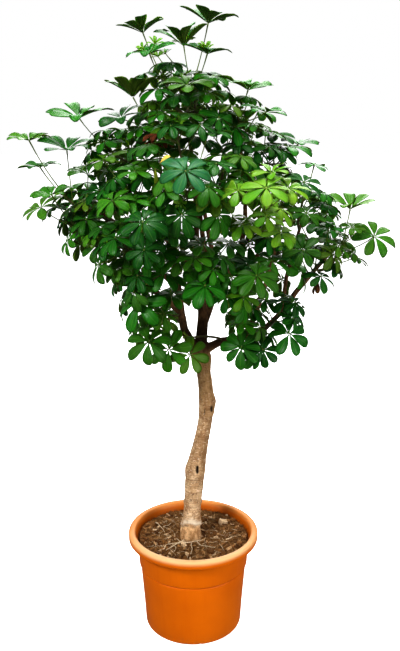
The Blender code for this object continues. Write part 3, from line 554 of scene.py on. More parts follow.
def unfold_bud(rng, place, direction):
    """Young leaves at a tip: one to three tufts of small bright blades, not yet spread."""
    pieces = []
    for tuft in range(rng.choice((1, 2, 2, 3))):
        turn = rng.uniform(0, 2 * math.pi)
        side = direction.orthogonal().normalized()
        lean = Matrix.Rotation(turn, 3, direction) @ side
        stalk_tip = place + rng.uniform(0.010, 0.026) * (direction + 0.9 * lean).normalized()
        tube = round_tube("bud_stalk", [place, stalk_tip], (0.0011, 0.0009), stalk)
        set_tone(tube.data, 0.9, 0.5, 0.1)
        pieces.append(tube)
        facing = (direction + 0.4 * lean).normalized()
        around = facing.orthogonal().normalized()
        size = rng.uniform(0.014, 0.026)
        for number in range(6):
            out = Matrix.Rotation(turn + number * math.pi / 3, 3, facing) @ around
            reach = size * rng.uniform(0.8, 1.0)
            tip = stalk_tip + reach * (out + rng.uniform(0.2, 0.9) * facing).normalized()
            piece = copy_blade(leaflets[2], stalk_tip, tip, facing, rng.gauss(0, 0.2), 0.85)
            set_tone(piece.data, rng.uniform(0.35, 0.75), 0.7, rng.random())
            pieces.append(piece)
    return pieces


def grow_shoot(name, leaves, line):
    """Stem, petioles, leaflets and buds of one shoot, joined."""
    rng = random.Random(name)
    pieces = []
    points = smooth_line(line, 2)
    share = [i / (len(points) - 1) for i in range(len(points))]
    radii = [STEM_RADIUS[0] + (STEM_RADIUS[1] - STEM_RADIUS[0]) * s for s in share]
    stem = round_tube(f"{name}_stem", points, radii, stalk)
    set_tone(stem.data, 0.1, rng.random(), 0.62)
    pieces.append(stem)
    for number, leaf in enumerate(leaves):
        hub, foot = leaf["hub"], leaf["foot"]
        axis = (hub - foot).normalized()
        near = min(line, key=lambda point: (point - foot).length)
        foot = foot.lerp(near, 0.5)
        lift = 0.06 * (hub - foot).length * (UP - axis * axis.dot(UP))
        petiole_points = []
        for i in range(len(PETIOLE_RADII)):
            t = i / (len(PETIOLE_RADII) - 1)
            petiole_points.append(foot.lerp(hub, t) - 4 * t * (1 - t) * lift)
        petiole = round_tube(f"{name}_petiole", petiole_points, PETIOLE_RADII, stalk)
        youth = min(1.0, max(0.0, rng.gauss(BRIGHT_SHOOTS.get(name, 0.05), 0.08)))
        leaf_number = 0.06 + 0.94 * rng.random() ** 1.6
        # painted reflection of the sky: high leaves at the crown's front take the ramp's cool first colour
        if hub.y < frame_front + SKY_REFLECTION_DEPTH and hub.z > SKY_REFLECTION_HEIGHT:
            leaf_number = 0.0
        set_tone(petiole.data, 0.3 + 0.7 * youth, leaf_number, 0.1)
        pieces.append(petiole)
        if hub.z > TUFT_HEIGHT:
            pieces += unfold_bud(rng, hub, leaf["facing"])
        for tip in leaf["tips"]:
            blade = rng.choice(leaflets)
            start = hub.lerp(tip, BLADE_START)
            piece = copy_blade(blade, start, tip, leaf["facing"], rng.gauss(0, 0.16), rng.uniform(0.92, 1.1))
            set_tone(piece.data, youth, leaf_number, rng.random())
            pieces.append(piece)
    pieces += unfold_bud(rng, points[-1], (points[-1] - points[-3]).normalized())
    whole = pick(*pieces)
    bpy.ops.object.join()
    whole.name = whole.data.name = name + "_foliage"
    whole.data.uv_layers.active = whole.data.uv_layers["blade"]
    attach(whole, "root")
    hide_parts(name)
    return whole


foliage = [grow_shoot(name, leaves, line) for name, (leaves, line) in shoots.items()]
print("Foliage faces:", sum(len(piece.data.polygons) for piece in foliage))

# %% [markdown]
# ## Dry and yellow leaves
# No plant is green all over. A few old leaves have dried to reddish brown and hang on among the others, and a
# leaflet here and there has turned yellow. They are the same blades, narrowed, hanging from the shoot's stem.

# %% Hang the dry and yellow leaves
def make_old_leaf():
    finish = Finish("old_leaf", Specular_IOR_Level=0.15, **LEAF_GLOW)
    yellowness, _, leaflet_number = leaf_tone(finish)
    crumpled = finish.noise(150, 5, 0.7)
    dry = finish.ramp(crumpled, (0.35, (0.060, 0.014, 0.006)), (0.65, (0.240, 0.065, 0.022)))
    yellow = finish.ramp(leaflet_number, (0.0, (0.22, 0.30, 0.015)), (1.0, (0.85, 0.60, 0.120)))
    finish.feed(**{
        "Base Color": finish.blend(yellowness, dry, yellow),
        "Roughness": 0.55 + 0.3 * crumpled,
        "Normal": finish.bump(crumpled, 0.001, 0.6),
    })
    return finish


old_leaf = make_old_leaf()
# the shoot it hangs on, its hub, leaflets, their length, how far they spread, yellowness and shade
OLD_LEAVES = [
    ("shoot_front_high", (-0.080, -0.125, 1.352), 7, 0.036, 0.9, 0.0, 0.0),
    ("shoot_front_high", (-0.066, -0.135, 1.340), 6, 0.032, 0.7, 0.0, 0.0),
    ("shoot_front_high", (-0.092, -0.120, 1.335), 6, 0.030, 0.8, 0.0, 0.0),
    ("shoot_right_outer_low", (0.309, -0.085, 0.995), 4, 0.034, 0.3, 0.0, 0.0),
    ("shoot_front_centre", (-0.062, -0.365, 1.296), 1, 0.032, 1.0, 1.0, 1.0),
    ("shoot_front_centre", (-0.072, -0.362, 1.286), 1, 0.030, 0.1, 1.0, 0.1),
]


def hang_old_leaf(number, shoot, hub, leaflet_count, length, spread, yellowness, shade):
    """The petiole and leaflets of one old leaf."""
    rng = random.Random(number)
    hub = Vector(hub)
    foot = min(shoots[shoot][1], key=lambda point: (point - hub).length)
    rise = (hub - foot).length
    arch = [foot.lerp(hub, t) + 0.25 * t * (1 - t) * rise * UP for t in (0.0, 0.3, 0.6, 0.85, 1.0)]
    petiole = round_tube("old_petiole", arch, (0.0014, 0.0012, 0.0010, 0.0010, 0.0012), stalk)
    set_tone(petiole.data, 0.2, 0.5, 0.55)
    pieces = [petiole]
    turn = rng.uniform(0, 2 * math.pi)
    for i in range(leaflet_count):
        angle = turn + 2 * math.pi * i / leaflet_count
        out = Vector((math.cos(angle), math.sin(angle), 0))
        if leaflet_count == 1:
            out = Vector((0.8 * spread, -0.2, 1.6 * spread - 0.6))
        tip = hub + length * rng.uniform(0.8, 1.1) * (spread * out - (1 - 0.6 * spread) * UP).normalized()
        facing = (out + 0.3 * UP + Vector((0, -0.5, 0))).normalized()
        piece = copy_blade(rng.choice(leaflets), hub, tip, facing, rng.gauss(0, 0.4), 0.75)
        piece.data.materials[0] = old_leaf.material
        piece.data.materials[1] = old_leaf.material
        set_tone(piece.data, yellowness, 0.5, shade)
        pieces.append(piece)
    return pieces


old_pieces = [piece for number, entry in enumerate(OLD_LEAVES) for piece in hang_old_leaf(number, *entry)]
old_leaves = pick(*old_pieces)
bpy.ops.object.join()
old_leaves.name = old_leaves.data.name = "old_leaves"
old_leaves.data.uv_layers.active = old_leaves.data.uv_layers["blade"]
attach(old_leaves, "root")
print("Old leaf faces:", len(old_leaves.data.polygons))

# %% [markdown]
# ## Bark, from the frame's own trunk
# The trunk and its limbs grew as one piece, and the frame has them as one solid. A copy of it, remeshed into
# a fine even skin and smoothed, runs through every fork without a seam. Bark then comes from moving the
# skin's points a little, outwards and inwards, and the marks of a real trunk are pushed in one by one: the
# pale scar ring near the soil, the crease above it, the dark slits left by lost shoots and the bumps of old
# leaf scars. The marks are also stored on the points as numbers, so that the finish can colour them. In the
# slits, the undercut below the scar ring and the crease, that colour is painted shade.

# %% Bark finish
def make_bark():
    finish = Finish("bark", Specular_IOR_Level=0.2)
    height = finish.coordinate(2)
    drawn = finish.stretched((1.0, 1.0, 0.55))
    broad = finish.noise(26, 6, 0.62, drawn)
    patches = finish.noise(70, 7, 0.72, drawn)
    fine = finish.noise(210, 7, 0.7)
    flecks = finish.noise(120, 5, 0.65)
    lenticels = finish.noise(190, 3, 0.55, finish.stretched((0.8, 0.8, 1.6)))
    rings = finish.noise(46, 4, 0.6, finish.stretched((0.25, 0.25, 6.0)))
    tan = finish.ramp(
        broad, (0.36, (0.33, 0.190, 0.085)), (0.50, (0.52, 0.340, 0.185)), (0.64, (0.74, 0.550, 0.350))
    )
    tan = finish.blend(0.75 * finish.step(patches, 0.50, 0.58), tan, (0.34, 0.185, 0.085))
    tan = finish.blend(0.65 * finish.step(rings, 0.50, 0.60), tan, (0.30, 0.165, 0.075))
    tan = finish.blend(0.62 * finish.step(lenticels, 0.57, 0.66), tan, (0.90, 0.74, 0.56))
    brown = finish.ramp(patches, (0.40, (0.500, 0.310, 0.135)), (0.60, (0.240, 0.125, 0.045)))
    browned = finish.step(height + 0.10 * broad, BROWN_HEIGHT - 0.04, BROWN_HEIGHT + 0.20)
    body = finish.blend(0.85 * browned, tan, brown)
    limb = finish.ramp(patches, (0.38, (0.100, 0.045, 0.018)), (0.62, (0.310, 0.165, 0.075)))
    limbs = finish.step(height + 0.06 * broad, FORK_HEIGHT - 0.01, FORK_HEIGHT + 0.06)
    body = finish.blend(limbs, body, limb)
    # painted shade: the crotch of the fork is darkened almost to black, where the limbs and the crown shade
    # it
    fork = finish.step(height + 0.03 * patches, FORK_HEIGHT - 0.010, FORK_HEIGHT + 0.030)
    fork_end = 1 - finish.step(height + 0.03 * patches, FORK_HEIGHT + 0.050, FORK_HEIGHT + 0.110)
    body = finish.blend(0.80 * fork * fork_end, body, (0.030, 0.014, 0.006))
    foot = finish.ramp(patches, (0.42, (0.40, 0.210, 0.080)), (0.58, (0.88, 0.610, 0.340)))
    body = finish.blend(0.75 * finish.value("foot"), body, foot)
    body = finish.blend(0.60 * finish.step(flecks, 0.57, 0.64), body, (0.13, 0.065, 0.028))
    body = finish.blend(finish.value("scar") * (1.15 - 0.5 * patches), body, (0.80, 0.70, 0.55))
    # painted shade: the slits, the undercut below the scar ring and the crease are darkened almost to black
    body = finish.blend(finish.step(finish.value("hollow"), 0.05, 0.65), body, (0.022, 0.010, 0.004))
    finish.feed(**{
        "Base Color": body,
        "Roughness": 0.70 + 0.2 * fine,
        "Normal": finish.bump(0.6 * fine + 0.4 * patches, 0.0016, 0.9),
    })
    return finish


trunk_low, trunk_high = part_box("trunk_and_limbs")
soil_low, soil_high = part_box("potting_mix")
FORK_HEIGHT = 0.81
BROWN_HEIGHT = 0.62
COLLAR_HEIGHT = soil_high[2] + 0.035
CREASE_HEIGHT = soil_high[2] + 0.092
bark = make_bark()
print("Bark from", round(trunk_low[2], 3), "to", round(trunk_high[2], 3), "with its crease at", CREASE_HEIGHT)

# %% Model the trunk and limbs
def copy_node(name):
    """A copy of a frame node with its loose triangles merged."""
    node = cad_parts[name]
    copied = node.copy()
    copied.data = node.data.copy()
    copied.parent = None
    copied.matrix_world = Matrix.Identity(4)
    bpy.context.collection.objects.link(copied)
    pick(copied)
    bpy.ops.object.mode_set(mode="EDIT")
    bpy.ops.mesh.select_all(action="SELECT")
    bpy.ops.mesh.remove_doubles(threshold=1e-5)
    bpy.ops.object.mode_set(mode="OBJECT")
    return copied


BARK_VOXEL = 0.0021
# the scar, the crease and the foot are all below this height
LOW_TRUNK = 0.45
# centre, push outwards in metres, and reach of each bump
TRUNK_MARKS = [
    ((0.060, -0.004, 0.656), 0.0045, 0.015),
    ((0.054, -0.012, 0.628), 0.0030, 0.011),
    ((0.026, -0.020, 0.640), 0.0020, 0.010),
    ((-0.022, -0.004, 0.458), 0.0030, 0.018),
    ((-0.010, -0.020, 0.480), 0.0022, 0.012),
    ((0.012, -0.026, 0.448), 0.0026, 0.012),
    ((0.030, -0.016, 0.560), 0.0018, 0.014),
    ((0.000, -0.024, 0.400), 0.0018, 0.016),
    ((0.016, -0.020, 0.520), 0.0016, 0.012),
    ((0.045, -0.004, 0.775), 0.0030, 0.018),
    ((0.000, -0.012, 0.770), 0.0026, 0.018),
]
# centre, half width, half height, depth and strength of painted shade of each slit left by a lost shoot
SLITS = [
    ((0.012, -0.026, 0.468), 0.0032, 0.0110, 0.0055, 1.0),
    ((0.050, -0.014, 0.638), 0.0034, 0.0100, 0.0035, 0.6),
    ((0.031, -0.020, 0.632), 0.0028, 0.0100, 0.0020, 0.4),
]


def push_bark(obj):
    """Move the skin's points along their normals: bark noise, bumps, slits, the scar ring and the crease."""
    mesh = obj.data
    count = len(mesh.vertices)
    places = np.empty(count * 3)
    mesh.vertices.foreach_get("co", places)
    places = places.reshape(-1, 3)
    normals = np.empty(count * 3)
    mesh.vertex_normals.foreach_get("vector", normals)
    normals = normals.reshape(-1, 3)
    push = np.zeros(count)
    for i, (x, y, z) in enumerate(places):
        strength = 1.0 if z < FORK_HEIGHT else 0.45
        push[i] = strength * 0.0013 * noise.noise(Vector((x * 50, y * 50, z * 30)))
        push[i] += strength * 0.0007 * noise.noise(Vector((x * 150, y * 150, z * 110)))
    for centre, amount, reach in TRUNK_MARKS:
        away = np.linalg.norm(places - np.array(centre), axis=1)
        push += amount * np.exp(-((away / reach) ** 2))
    # painted shade: these numbers mark where the finish darkens the slits, the undercut and the crease,
    # standing in for shade in those recesses
    hollow = np.zeros(count)
    for centre, half_width, half_height, depth, slit_shade in SLITS:
        across = (places[:, 0] - centre[0]) / half_width
        upward = (places[:, 2] - centre[2]) / half_height
        near = np.abs(places[:, 1] - centre[1]) < 0.02
        slit = near * np.exp(-(across**2) - upward**4)
        lip = near * np.exp(-((np.hypot(across, upward) - 1.6) ** 2) * 3)
        push += 0.0009 * lip - depth * slit
        hollow = np.maximum(hollow, slit_shade * slit)
    low_part = places[:, 2] < LOW_TRUNK
    in_front = np.clip(-places[:, 1] / 0.025, 0, 1)
    around = np.arctan2(places[:, 1], places[:, 0] + 0.007)
    rough = np.zeros(count)
    for i in np.flatnonzero(low_part):
        x, y, z = places[i]
        rough[i] = noise.noise(Vector((x * 70, y * 70, z * 45)))
    ring = COLLAR_HEIGHT + 0.010 * in_front + 0.004 * np.sin(around * 3 + 0.6) + 0.007 * rough
    above = places[:, 2] - ring
    lip = 0.0034 * np.exp(-((above / 0.012) ** 2))
    push += low_part * np.where(above > 0, lip, lip * np.exp(above / 0.0035) - 0.0012 * np.exp(above / 0.010))
    push += low_part * np.where(above < 0, 0.0022 * rough, 0.0)
    left_front = np.exp(-(((around + 2.15) / 0.50) ** 2))
    undercut = left_front * np.exp(-(((above + 0.004 + 0.006 * (around + 2.6)) / 0.0034) ** 2))
    push -= low_part * 0.0030 * undercut
    crease = CREASE_HEIGHT + 0.22 * np.abs(places[:, 0] - 0.003) + 0.001 * np.sin(around * 9)
    fold = in_front * np.exp(-(((places[:, 2] - crease) / 0.0026) ** 2))
    push -= 0.0022 * fold
    push += 0.0018 * low_part * np.exp(-(((places[:, 2] - CREASE_HEIGHT - 0.010) / 0.006) ** 2))
    # the undercut and the crease get painted shade as well
    hollow = np.maximum(hollow, np.maximum(0.45 * low_part * undercut, 0.20 * fold))
    scar = low_part * np.exp(-(((above - 0.005) / 0.0075) ** 2)) * np.clip(0.75 + 1.2 * rough, 0, 1)
    foot = low_part * np.clip(-above / 0.004, 0, 1)
    places += normals * push[:, None]
    mesh.vertices.foreach_set("co", places.ravel())
    mesh.update()
    for name, values in {"hollow": hollow, "scar": scar, "foot": foot}.items():
        mesh.attributes.new(name, "FLOAT", "POINT").data.foreach_set("value", np.clip(values, 0, 1))


trunk = copy_node("trunk_and_limbs")
apply_modifier(trunk, "REMESH", mode="VOXEL", voxel_size=BARK_VOXEL)
apply_modifier(trunk, "SMOOTH", factor=0.5, iterations=5)
bpy.ops.object.mode_set(mode="EDIT")
pick_points(trunk, lambda place: place.z < FORK_HEIGHT - 0.03)
bpy.ops.mesh.vertices_smooth(factor=0.5, repeat=30)
bpy.ops.object.mode_set(mode="OBJECT")
push_bark(trunk)
trunk = settle(trunk, "trunk_with_limbs", bark)
bpy.ops.object.shade_smooth()
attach(trunk, "root")
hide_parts("trunk_and_limbs")
print("Trunk faces:", len(trunk.data.polygons))

# %% [markdown]
# ## The pot
# A nursery pot is moulded in one piece: a thin wall with a slight taper, a step where stacked pots rest on
# each other, and a broad rolled rim that stiffens the top. It is round, so one ring of points is extruded and
# resized along its profile, which is how a lathe or a mould-maker thinks of it. That keeps clean rows of
# faces for the highlights along the rim. The drainage holes and small notches under the edge are cut last.

# %% Pot finishes
pot_low, pot_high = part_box("pot")
POT_TOP = pot_high[2]
RIM = (pot_high[0] - pot_low[0]) / 2
SOIL_LINE = soil_high[2]
GROOVE_HEIGHT = 0.1823


def make_plastic(name, shade, dirt):
    """Orange plastic, scuffed near the floor. Shade is painted shade over all of it; dirt is how much soil
    shows just above the soil line.
    """
    finish = Finish(name, Specular_IOR_Level=0.14)
    height = finish.coordinate(2)
    front = 1 - finish.step(finish.coordinate(1), -0.16, 0.04)
    cloudy = finish.noise(9, 4, 0.5)
    streaks = finish.noise(60, 4, 0.6, finish.stretched((1.0, 1.0, 0.06)))
    scuffs = finish.noise(130, 6, 0.75)
    body = finish.ramp(cloudy, (0.30, (0.65, 0.150, 0.0004)), (0.70, (0.72, 0.178, 0.0006)))
    body = finish.blend(0.25 * finish.step(streaks, 0.45, 0.75), body, (0.62, 0.125, 0.0005))
    # painted shade: the whole surface is darkened by the shade amount, which the pot's inside uses
    body = finish.blend(shade, body, (0.32, 0.085, 0.004))
    # painted highlight: the rim's top is blended to a pale cream, palest at the front, standing in for light
    # from the lamps above
    rim_highlight_band = finish.step(height, POT_TOP - 0.016, POT_TOP - 0.001)
    rim_highlight_colour = finish.ramp(front, (0.0, (0.84, 0.42, 0.13)), (1.0, (1.00, 0.80, 0.45)))
    body = finish.blend(0.62 * rim_highlight_band, body, rim_highlight_colour)
    # painted shade: a dark line along the groove under the step, where the band above overhangs it
    groove_shade = finish.step(height, GROOVE_HEIGHT - 0.003, GROOVE_HEIGHT)
    groove_shade = groove_shade * (1 - finish.step(height, GROOVE_HEIGHT + 0.001, GROOVE_HEIGHT + 0.004))
    body = finish.blend(0.45 * groove_shade, body, (0.42, 0.07, 0.001))
    low = 1 - finish.step(height + 0.02 * cloudy, 0.012, 0.040)
    body = finish.blend(0.35 * low * finish.step(scuffs, 0.45, 0.60), body, (0.42, 0.16, 0.05))
    splashed = 1 - finish.step(height + 0.012 * scuffs, SOIL_LINE + 0.002, SOIL_LINE + 0.012)
    body = finish.blend(dirt * splashed * finish.step(scuffs, 0.40, 0.60), body, (0.10, 0.05, 0.02))
    finish.feed(**{
        "Base Color": body,
        "Roughness": 0.30 + 0.14 * cloudy + 0.12 * finish.step(scuffs, 0.5, 0.7),
        "Normal": finish.bump(0.6 * streaks + 0.4 * scuffs, 0.0004, 0.35),
    })
    return finish


plastic_outside = make_plastic("orange_plastic", 0.0, 0.0)
# the inside: the same plastic, darkened all over with painted shade
plastic_shaded_inside = make_plastic("orange_plastic_shaded_inside", 0.30, 0.85)
print("Plastic:", plastic_outside.material.name, plastic_shaded_inside.material.name)

# %% Model the pot
POT_SIDES = 112


def rolled(centre_radius, centre_height, radius, start, end, steps):
    """Profile points of a rounded edge, angles in degrees."""
    angles = [math.radians(start + (end - start) * i / steps) for i in range(steps + 1)]
    return [(centre_radius + radius * math.cos(a), centre_height + radius * math.sin(a)) for a in angles]


def pot_profile():
    """Radius and height of each ring, from the underside's middle, up the outside and down the inside."""
    profile = [(0.060, 0.0022), (0.115, 0.0022), (0.117, 0.0002), (0.123, 0.0002)]
    profile += rolled(0.1240, 0.0100, 0.0100, -84, -4, 6)
    profile += [(0.1370, 0.060), (0.1415, 0.120), (0.1460, 0.177)]
    profile += [(0.1457, 0.1795), (0.1446, 0.1808), (0.1446, 0.1838), (0.1458, 0.1848)]
    profile += [(0.1490, 0.1854), (0.1499, 0.1864), (0.1502, 0.1890)]
    profile += [(0.1522, 0.225), (0.1538, 0.250), (0.1547, 0.2562), (0.1572, 0.2578), (0.1730, 0.2574)]
    profile += rolled(RIM - 0.0040, 0.2612, 0.0038, -80, 0, 4)
    profile += rolled(RIM - 0.0070, POT_TOP - 0.0072, 0.0070, 8, 96, 6)
    profile += [(RIM - 0.0120, POT_TOP - 0.0004)]
    profile += rolled(RIM - 0.0135, POT_TOP - 0.0050, 0.0046, 100, 176, 4)
    profile += [(0.1585, 0.2640), (0.1530, 0.2540), (0.1512, 0.2400)]
    profile += [(0.1445, 0.185), (0.1310, 0.012), (0.060, 0.0055)]
    return profile


def turn_profile(name, profile, sides):
    """Extrude a ring of points along a profile, and close it at both ends."""
    radius, height = profile[0]
    bpy.ops.object.select_all(action="DESELECT")
    middle = (0, 0, height)
    bpy.ops.mesh.primitive_circle_add(vertices=sides, radius=radius, fill_type="NGON", location=middle)
    body = bpy.context.object
    bpy.ops.object.transform_apply(location=True)
    bpy.ops.object.mode_set(mode="EDIT")
    bpy.ops.mesh.select_all(action="SELECT")
    bpy.ops.mesh.flip_normals()
    for next_radius, next_height in profile[1:]:
        pick_points(body, lambda place: abs(place.z - height) < 1e-6 and abs(place.xy.length - radius) < 1e-4)
        bpy.ops.mesh.region_to_loop()
        bpy.ops.mesh.extrude_edges_move(TRANSFORM_OT_translate={"value": (0, 0, next_height - height)})
        scale = next_radius / radius
        bpy.ops.transform.resize(value=(scale, scale, 1), center_override=(0, 0, next_height))
        radius, height = next_radius, next_height
    bpy.ops.mesh.edge_face_add()
    bpy.ops.mesh.select_all(action="SELECT")
    bpy.ops.mesh.normals_make_consistent(inside=False)
    bpy.ops.object.mode_set(mode="OBJECT")
    body.name = name
    return body


def cut_holes(body, places, radius, depth, tilt):
    """Cut round holes through a body, all at once."""
    cutters = []
    for x, y, z in places:
        bpy.ops.mesh.primitive_cylinder_add(vertices=20, radius=radius, depth=depth, location=(x, y, z))
        if tilt:
            bpy.context.object.rotation_euler = (math.pi / 2, 0, math.atan2(y, x) + math.pi / 2)
        cutters.append(bpy.context.object)
    pick(*cutters)
    bpy.ops.object.join()
    cutter = bpy.context.object
    apply_modifier(body, "BOOLEAN", operation="DIFFERENCE", object=cutter, solver="EXACT")
    bpy.data.objects.remove(cutter)


def round_places(count, radius, height, turn):
    """Places evenly round the axis."""
    angles = [2 * math.pi * (i + turn) / count for i in range(count)]
    return [(radius * math.cos(a), radius * math.sin(a), height) for a in angles]


DRAIN_HOLES = {"count": 6, "radius": 0.090, "height": 0.004, "turn": 0.27}
EDGE_NOTCHES = {"count": 8, "radius": 0.131, "height": 0.0, "turn": 0.19}
pot = turn_profile("pot_shell", pot_profile(), POT_SIDES)
cut_holes(pot, round_places(**DRAIN_HOLES), radius=0.007, depth=0.02, tilt=False)
cut_holes(pot, round_places(**EDGE_NOTCHES), radius=0.0055, depth=0.024, tilt=True)
pot = settle(pot, "plastic_pot", plastic_outside, plastic_shaded_inside)
# the inner wall and the inside of the bottom have their own finish: darkened all over with painted shade, and
# dirtier just above the soil line
for face in pot.data.polygons:
    middle = face.center
    faces_axis = face.normal.x * middle.x + face.normal.y * middle.y < -1e-4
    if middle.z > 0.004 and (faces_axis or face.normal.z > 0.9) and middle.xy.length < RIM - 0.019:
        face.material_index = 1
bpy.ops.object.shade_smooth_by_angle(angle=math.radians(35))
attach(pot, "root")
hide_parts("pot")
print("Pot faces:", len(pot.data.polygons))

# %% [markdown]
# ## Potting mix and mulch
# The pot is filled with a dark bark mix. Its top is never flat: it is a litter of torn bark chips, straw-like
# fibres and a few pale roots. The mix itself is one body whose top is a fine web of points pushed up and down
# by noise. Chips are modelled as four rough flakes of a few faces each, then strewn by the hundred.

# %% Mix and chip finishes
def make_mix():
    finish = Finish("potting_mix", Specular_IOR_Level=0.1)
    crumbs = finish.noise(170, 8, 0.75)
    broad = finish.noise(22, 4)
    body = finish.ramp(
        crumbs, (0.30, (0.050, 0.023, 0.007)), (0.50, (0.210, 0.105, 0.034)), (0.70, (0.470, 0.280, 0.115))
    )
    body = finish.blend(0.4 * finish.step(broad, 0.45, 0.70), body, (0.110, 0.052, 0.016))
    finish.feed(**{
        "Base Color": body,
        "Roughness": 0.80 + 0.15 * crumbs,
        "Normal": finish.bump(crumbs, 0.004, 1.0),
    })
    return finish


def make_litter(name, *stops):
    """Bark, straw and roots: a colour from the piece's tone, with a grain."""
    finish = Finish(name, Specular_IOR_Level=0.2)
    shade = leaf_tone(finish)[1]
    grain = finish.noise(240, 6, 0.7)
    body = finish.ramp(shade, *stops)
    body = finish.blend(0.5 * finish.step(grain, 0.40, 0.70), body, (0.05, 0.028, 0.014))
    finish.feed(**{
        "Base Color": body,
        "Roughness": 0.75 + 0.2 * grain,
        "Normal": finish.bump(grain, 0.0012, 0.8),
    })
    return finish


mix_finish = make_mix()
chip_finish = make_litter(
    "mulch_bark",
    (0.00, (0.110, 0.045, 0.012)), (0.45, (0.330, 0.160, 0.050)),
    (0.80, (0.540, 0.320, 0.140)), (1.00, (0.850, 0.640, 0.410)),
)
straw_finish = make_litter("dry_root", (0.0, (0.36, 0.22, 0.10)), (1.0, (0.90, 0.74, 0.52)))
print("Litter:", mix_finish.material.name, chip_finish.material.name, straw_finish.material.name)

# %% Model the mix
MIX_SIDES = 144
MIX_RINGS = 34
MIX_EDGE = 0.1500
MIX_WALL = [(0.1295, 0.0075), (0.1435, 0.183), (MIX_EDGE, 0.250)]


def mix_height(x, y):
    """Height of the mix at a place: clods over a shallow dish round the trunk."""
    reach = math.hypot(x, y)
    dish = 0.0065 * math.exp(-(reach / 0.075) ** 2)
    clods = 0.0042 * noise.noise(Vector((x * 48, y * 48, 3.0)))
    crumbs = 0.0030 * noise.noise(Vector((x * 130, y * 130, 7.0)))
    return SOIL_LINE - 0.001 - dish + (clods + crumbs)


# the rings of the top start at slightly different heights, because each extrusion picks its points by height
mix_top = [(MIX_EDGE * (1 - i / MIX_RINGS), 0.300 - (i - 1) * 1e-4) for i in range(1, MIX_RINGS)]
mix = turn_profile("mix_body", MIX_WALL + mix_top, MIX_SIDES)
for vert in mix.data.vertices:
    if vert.co.z > 0.245:
        vert.co.z = mix_height(vert.co.x, vert.co.y)
mix = settle(mix, "potting_mix_body", mix_finish)
bpy.ops.object.shade_smooth_by_angle(angle=math.radians(40))
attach(mix, "root")
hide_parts("potting_mix")
print("Mix faces:", len(mix.data.polygons))

# %% Model the bark flakes
def model_flake(name, length, width, thickness, seed):
    """A torn flake of bark, from a cube cut along its length, with its points shifted."""
    rng = random.Random(seed)
    bpy.ops.object.select_all(action="DESELECT")
    bpy.ops.mesh.primitive_cube_add(size=1, scale=(length, width, thickness))
    flake = bpy.context.object
    bpy.ops.object.transform_apply(scale=True)
    bpy.ops.object.mode_set(mode="EDIT")
    for share in (-0.28, 0.05, 0.30):
        bpy.ops.mesh.select_all(action="SELECT")
        bpy.ops.mesh.bisect(plane_co=(share * length, 0, 0), plane_no=(1, rng.uniform(-0.3, 0.3), 0))
    bpy.ops.mesh.select_all(action="SELECT")
    bpy.ops.mesh.bisect(plane_co=(0, 0.1 * width, 0), plane_no=(rng.uniform(-0.2, 0.2), 1, 0))
    bm = bmesh.from_edit_mesh(flake.data)
    for vert in bm.verts:
        end = abs(vert.co.x) / (length / 2)
        vert.co.y *= 1 - 0.45 * end**2 * rng.uniform(0.4, 1.4)
        vert.co.x += rng.uniform(-0.06, 0.06) * length
        vert.co.z += rng.uniform(-0.5, 0.5) * thickness + 0.18 * length * (vert.co.x / length) ** 2
    bmesh.update_edit_mesh(flake.data)
    bpy.ops.object.mode_set(mode="OBJECT")
    flake = settle(flake, name, chip_finish)
    flake.data.color_attributes.new("tone", "FLOAT_COLOR", "POINT")
    bpy.context.collection.objects.unlink(flake)
    return flake


flakes = [
    model_flake("flake_long", 1.0, 0.34, 0.14, 1),
    model_flake("flake_broad", 1.0, 0.62, 0.18, 2),
    model_flake("flake_splinter", 1.0, 0.18, 0.10, 3),
    model_flake("flake_block", 1.0, 0.70, 0.45, 4),
]
print("Flake faces:", [len(flake.data.polygons) for flake in flakes])

# %% Strew the mulch
FLAKE_COUNT = 900
LARGE_CHIP_LENGTH = 0.017
TRUNK_FOOT = Vector((-0.007, 0.0, 0.0))


def lay_flake(rng, flake, place, length, heading):
    """A copy of a flake, lying roughly level on the mix."""
    tilt = Matrix.Rotation(rng.gauss(0, 0.28), 4, "X") @ Matrix.Rotation(rng.gauss(0, 0.25), 4, "Y")
    piece = flake.copy()
    piece.data = flake.data.copy()
    turned = Matrix.Rotation(heading, 4, "Z") @ tilt
    piece.data.transform(Matrix.Translation(place) @ turned @ Matrix.Scale(length, 4))
    set_tone(piece.data, 0.0, rng.random() ** 1.3, rng.random())
    bpy.context.collection.objects.link(piece)
    return piece


def join_pieces(pieces, name, replaced=()):
    """Join pieces into one that rides on the body."""
    whole = pick(*pieces)
    bpy.ops.object.join()
    whole.name = whole.data.name = name
    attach(whole, "root")
    if replaced:
        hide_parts(*replaced)
    return whole


rng = random.Random("mulch")
strewn = []
while len(strewn) < FLAKE_COUNT:
    reach = 0.145 * math.sqrt(rng.random())
    angle = rng.uniform(0, 2 * math.pi)
    x, y = reach * math.cos(angle), reach * math.sin(angle)
    if (Vector((x, y, 0)) - TRUNK_FOOT).length < 0.034:
        continue
    length = min(rng.uniform(0.005, 0.013) + rng.random() ** 6 * 0.012, 2.2 * (0.152 - reach))
    place = Vector((x, y, mix_height(x, y) + 0.0012))
    flake = rng.choices(flakes, (5, 3, 6, 1))[0]
    strewn.append(lay_flake(rng, flake, place, length, rng.uniform(0, math.pi)))
mulch = join_pieces(strewn, "mulch")

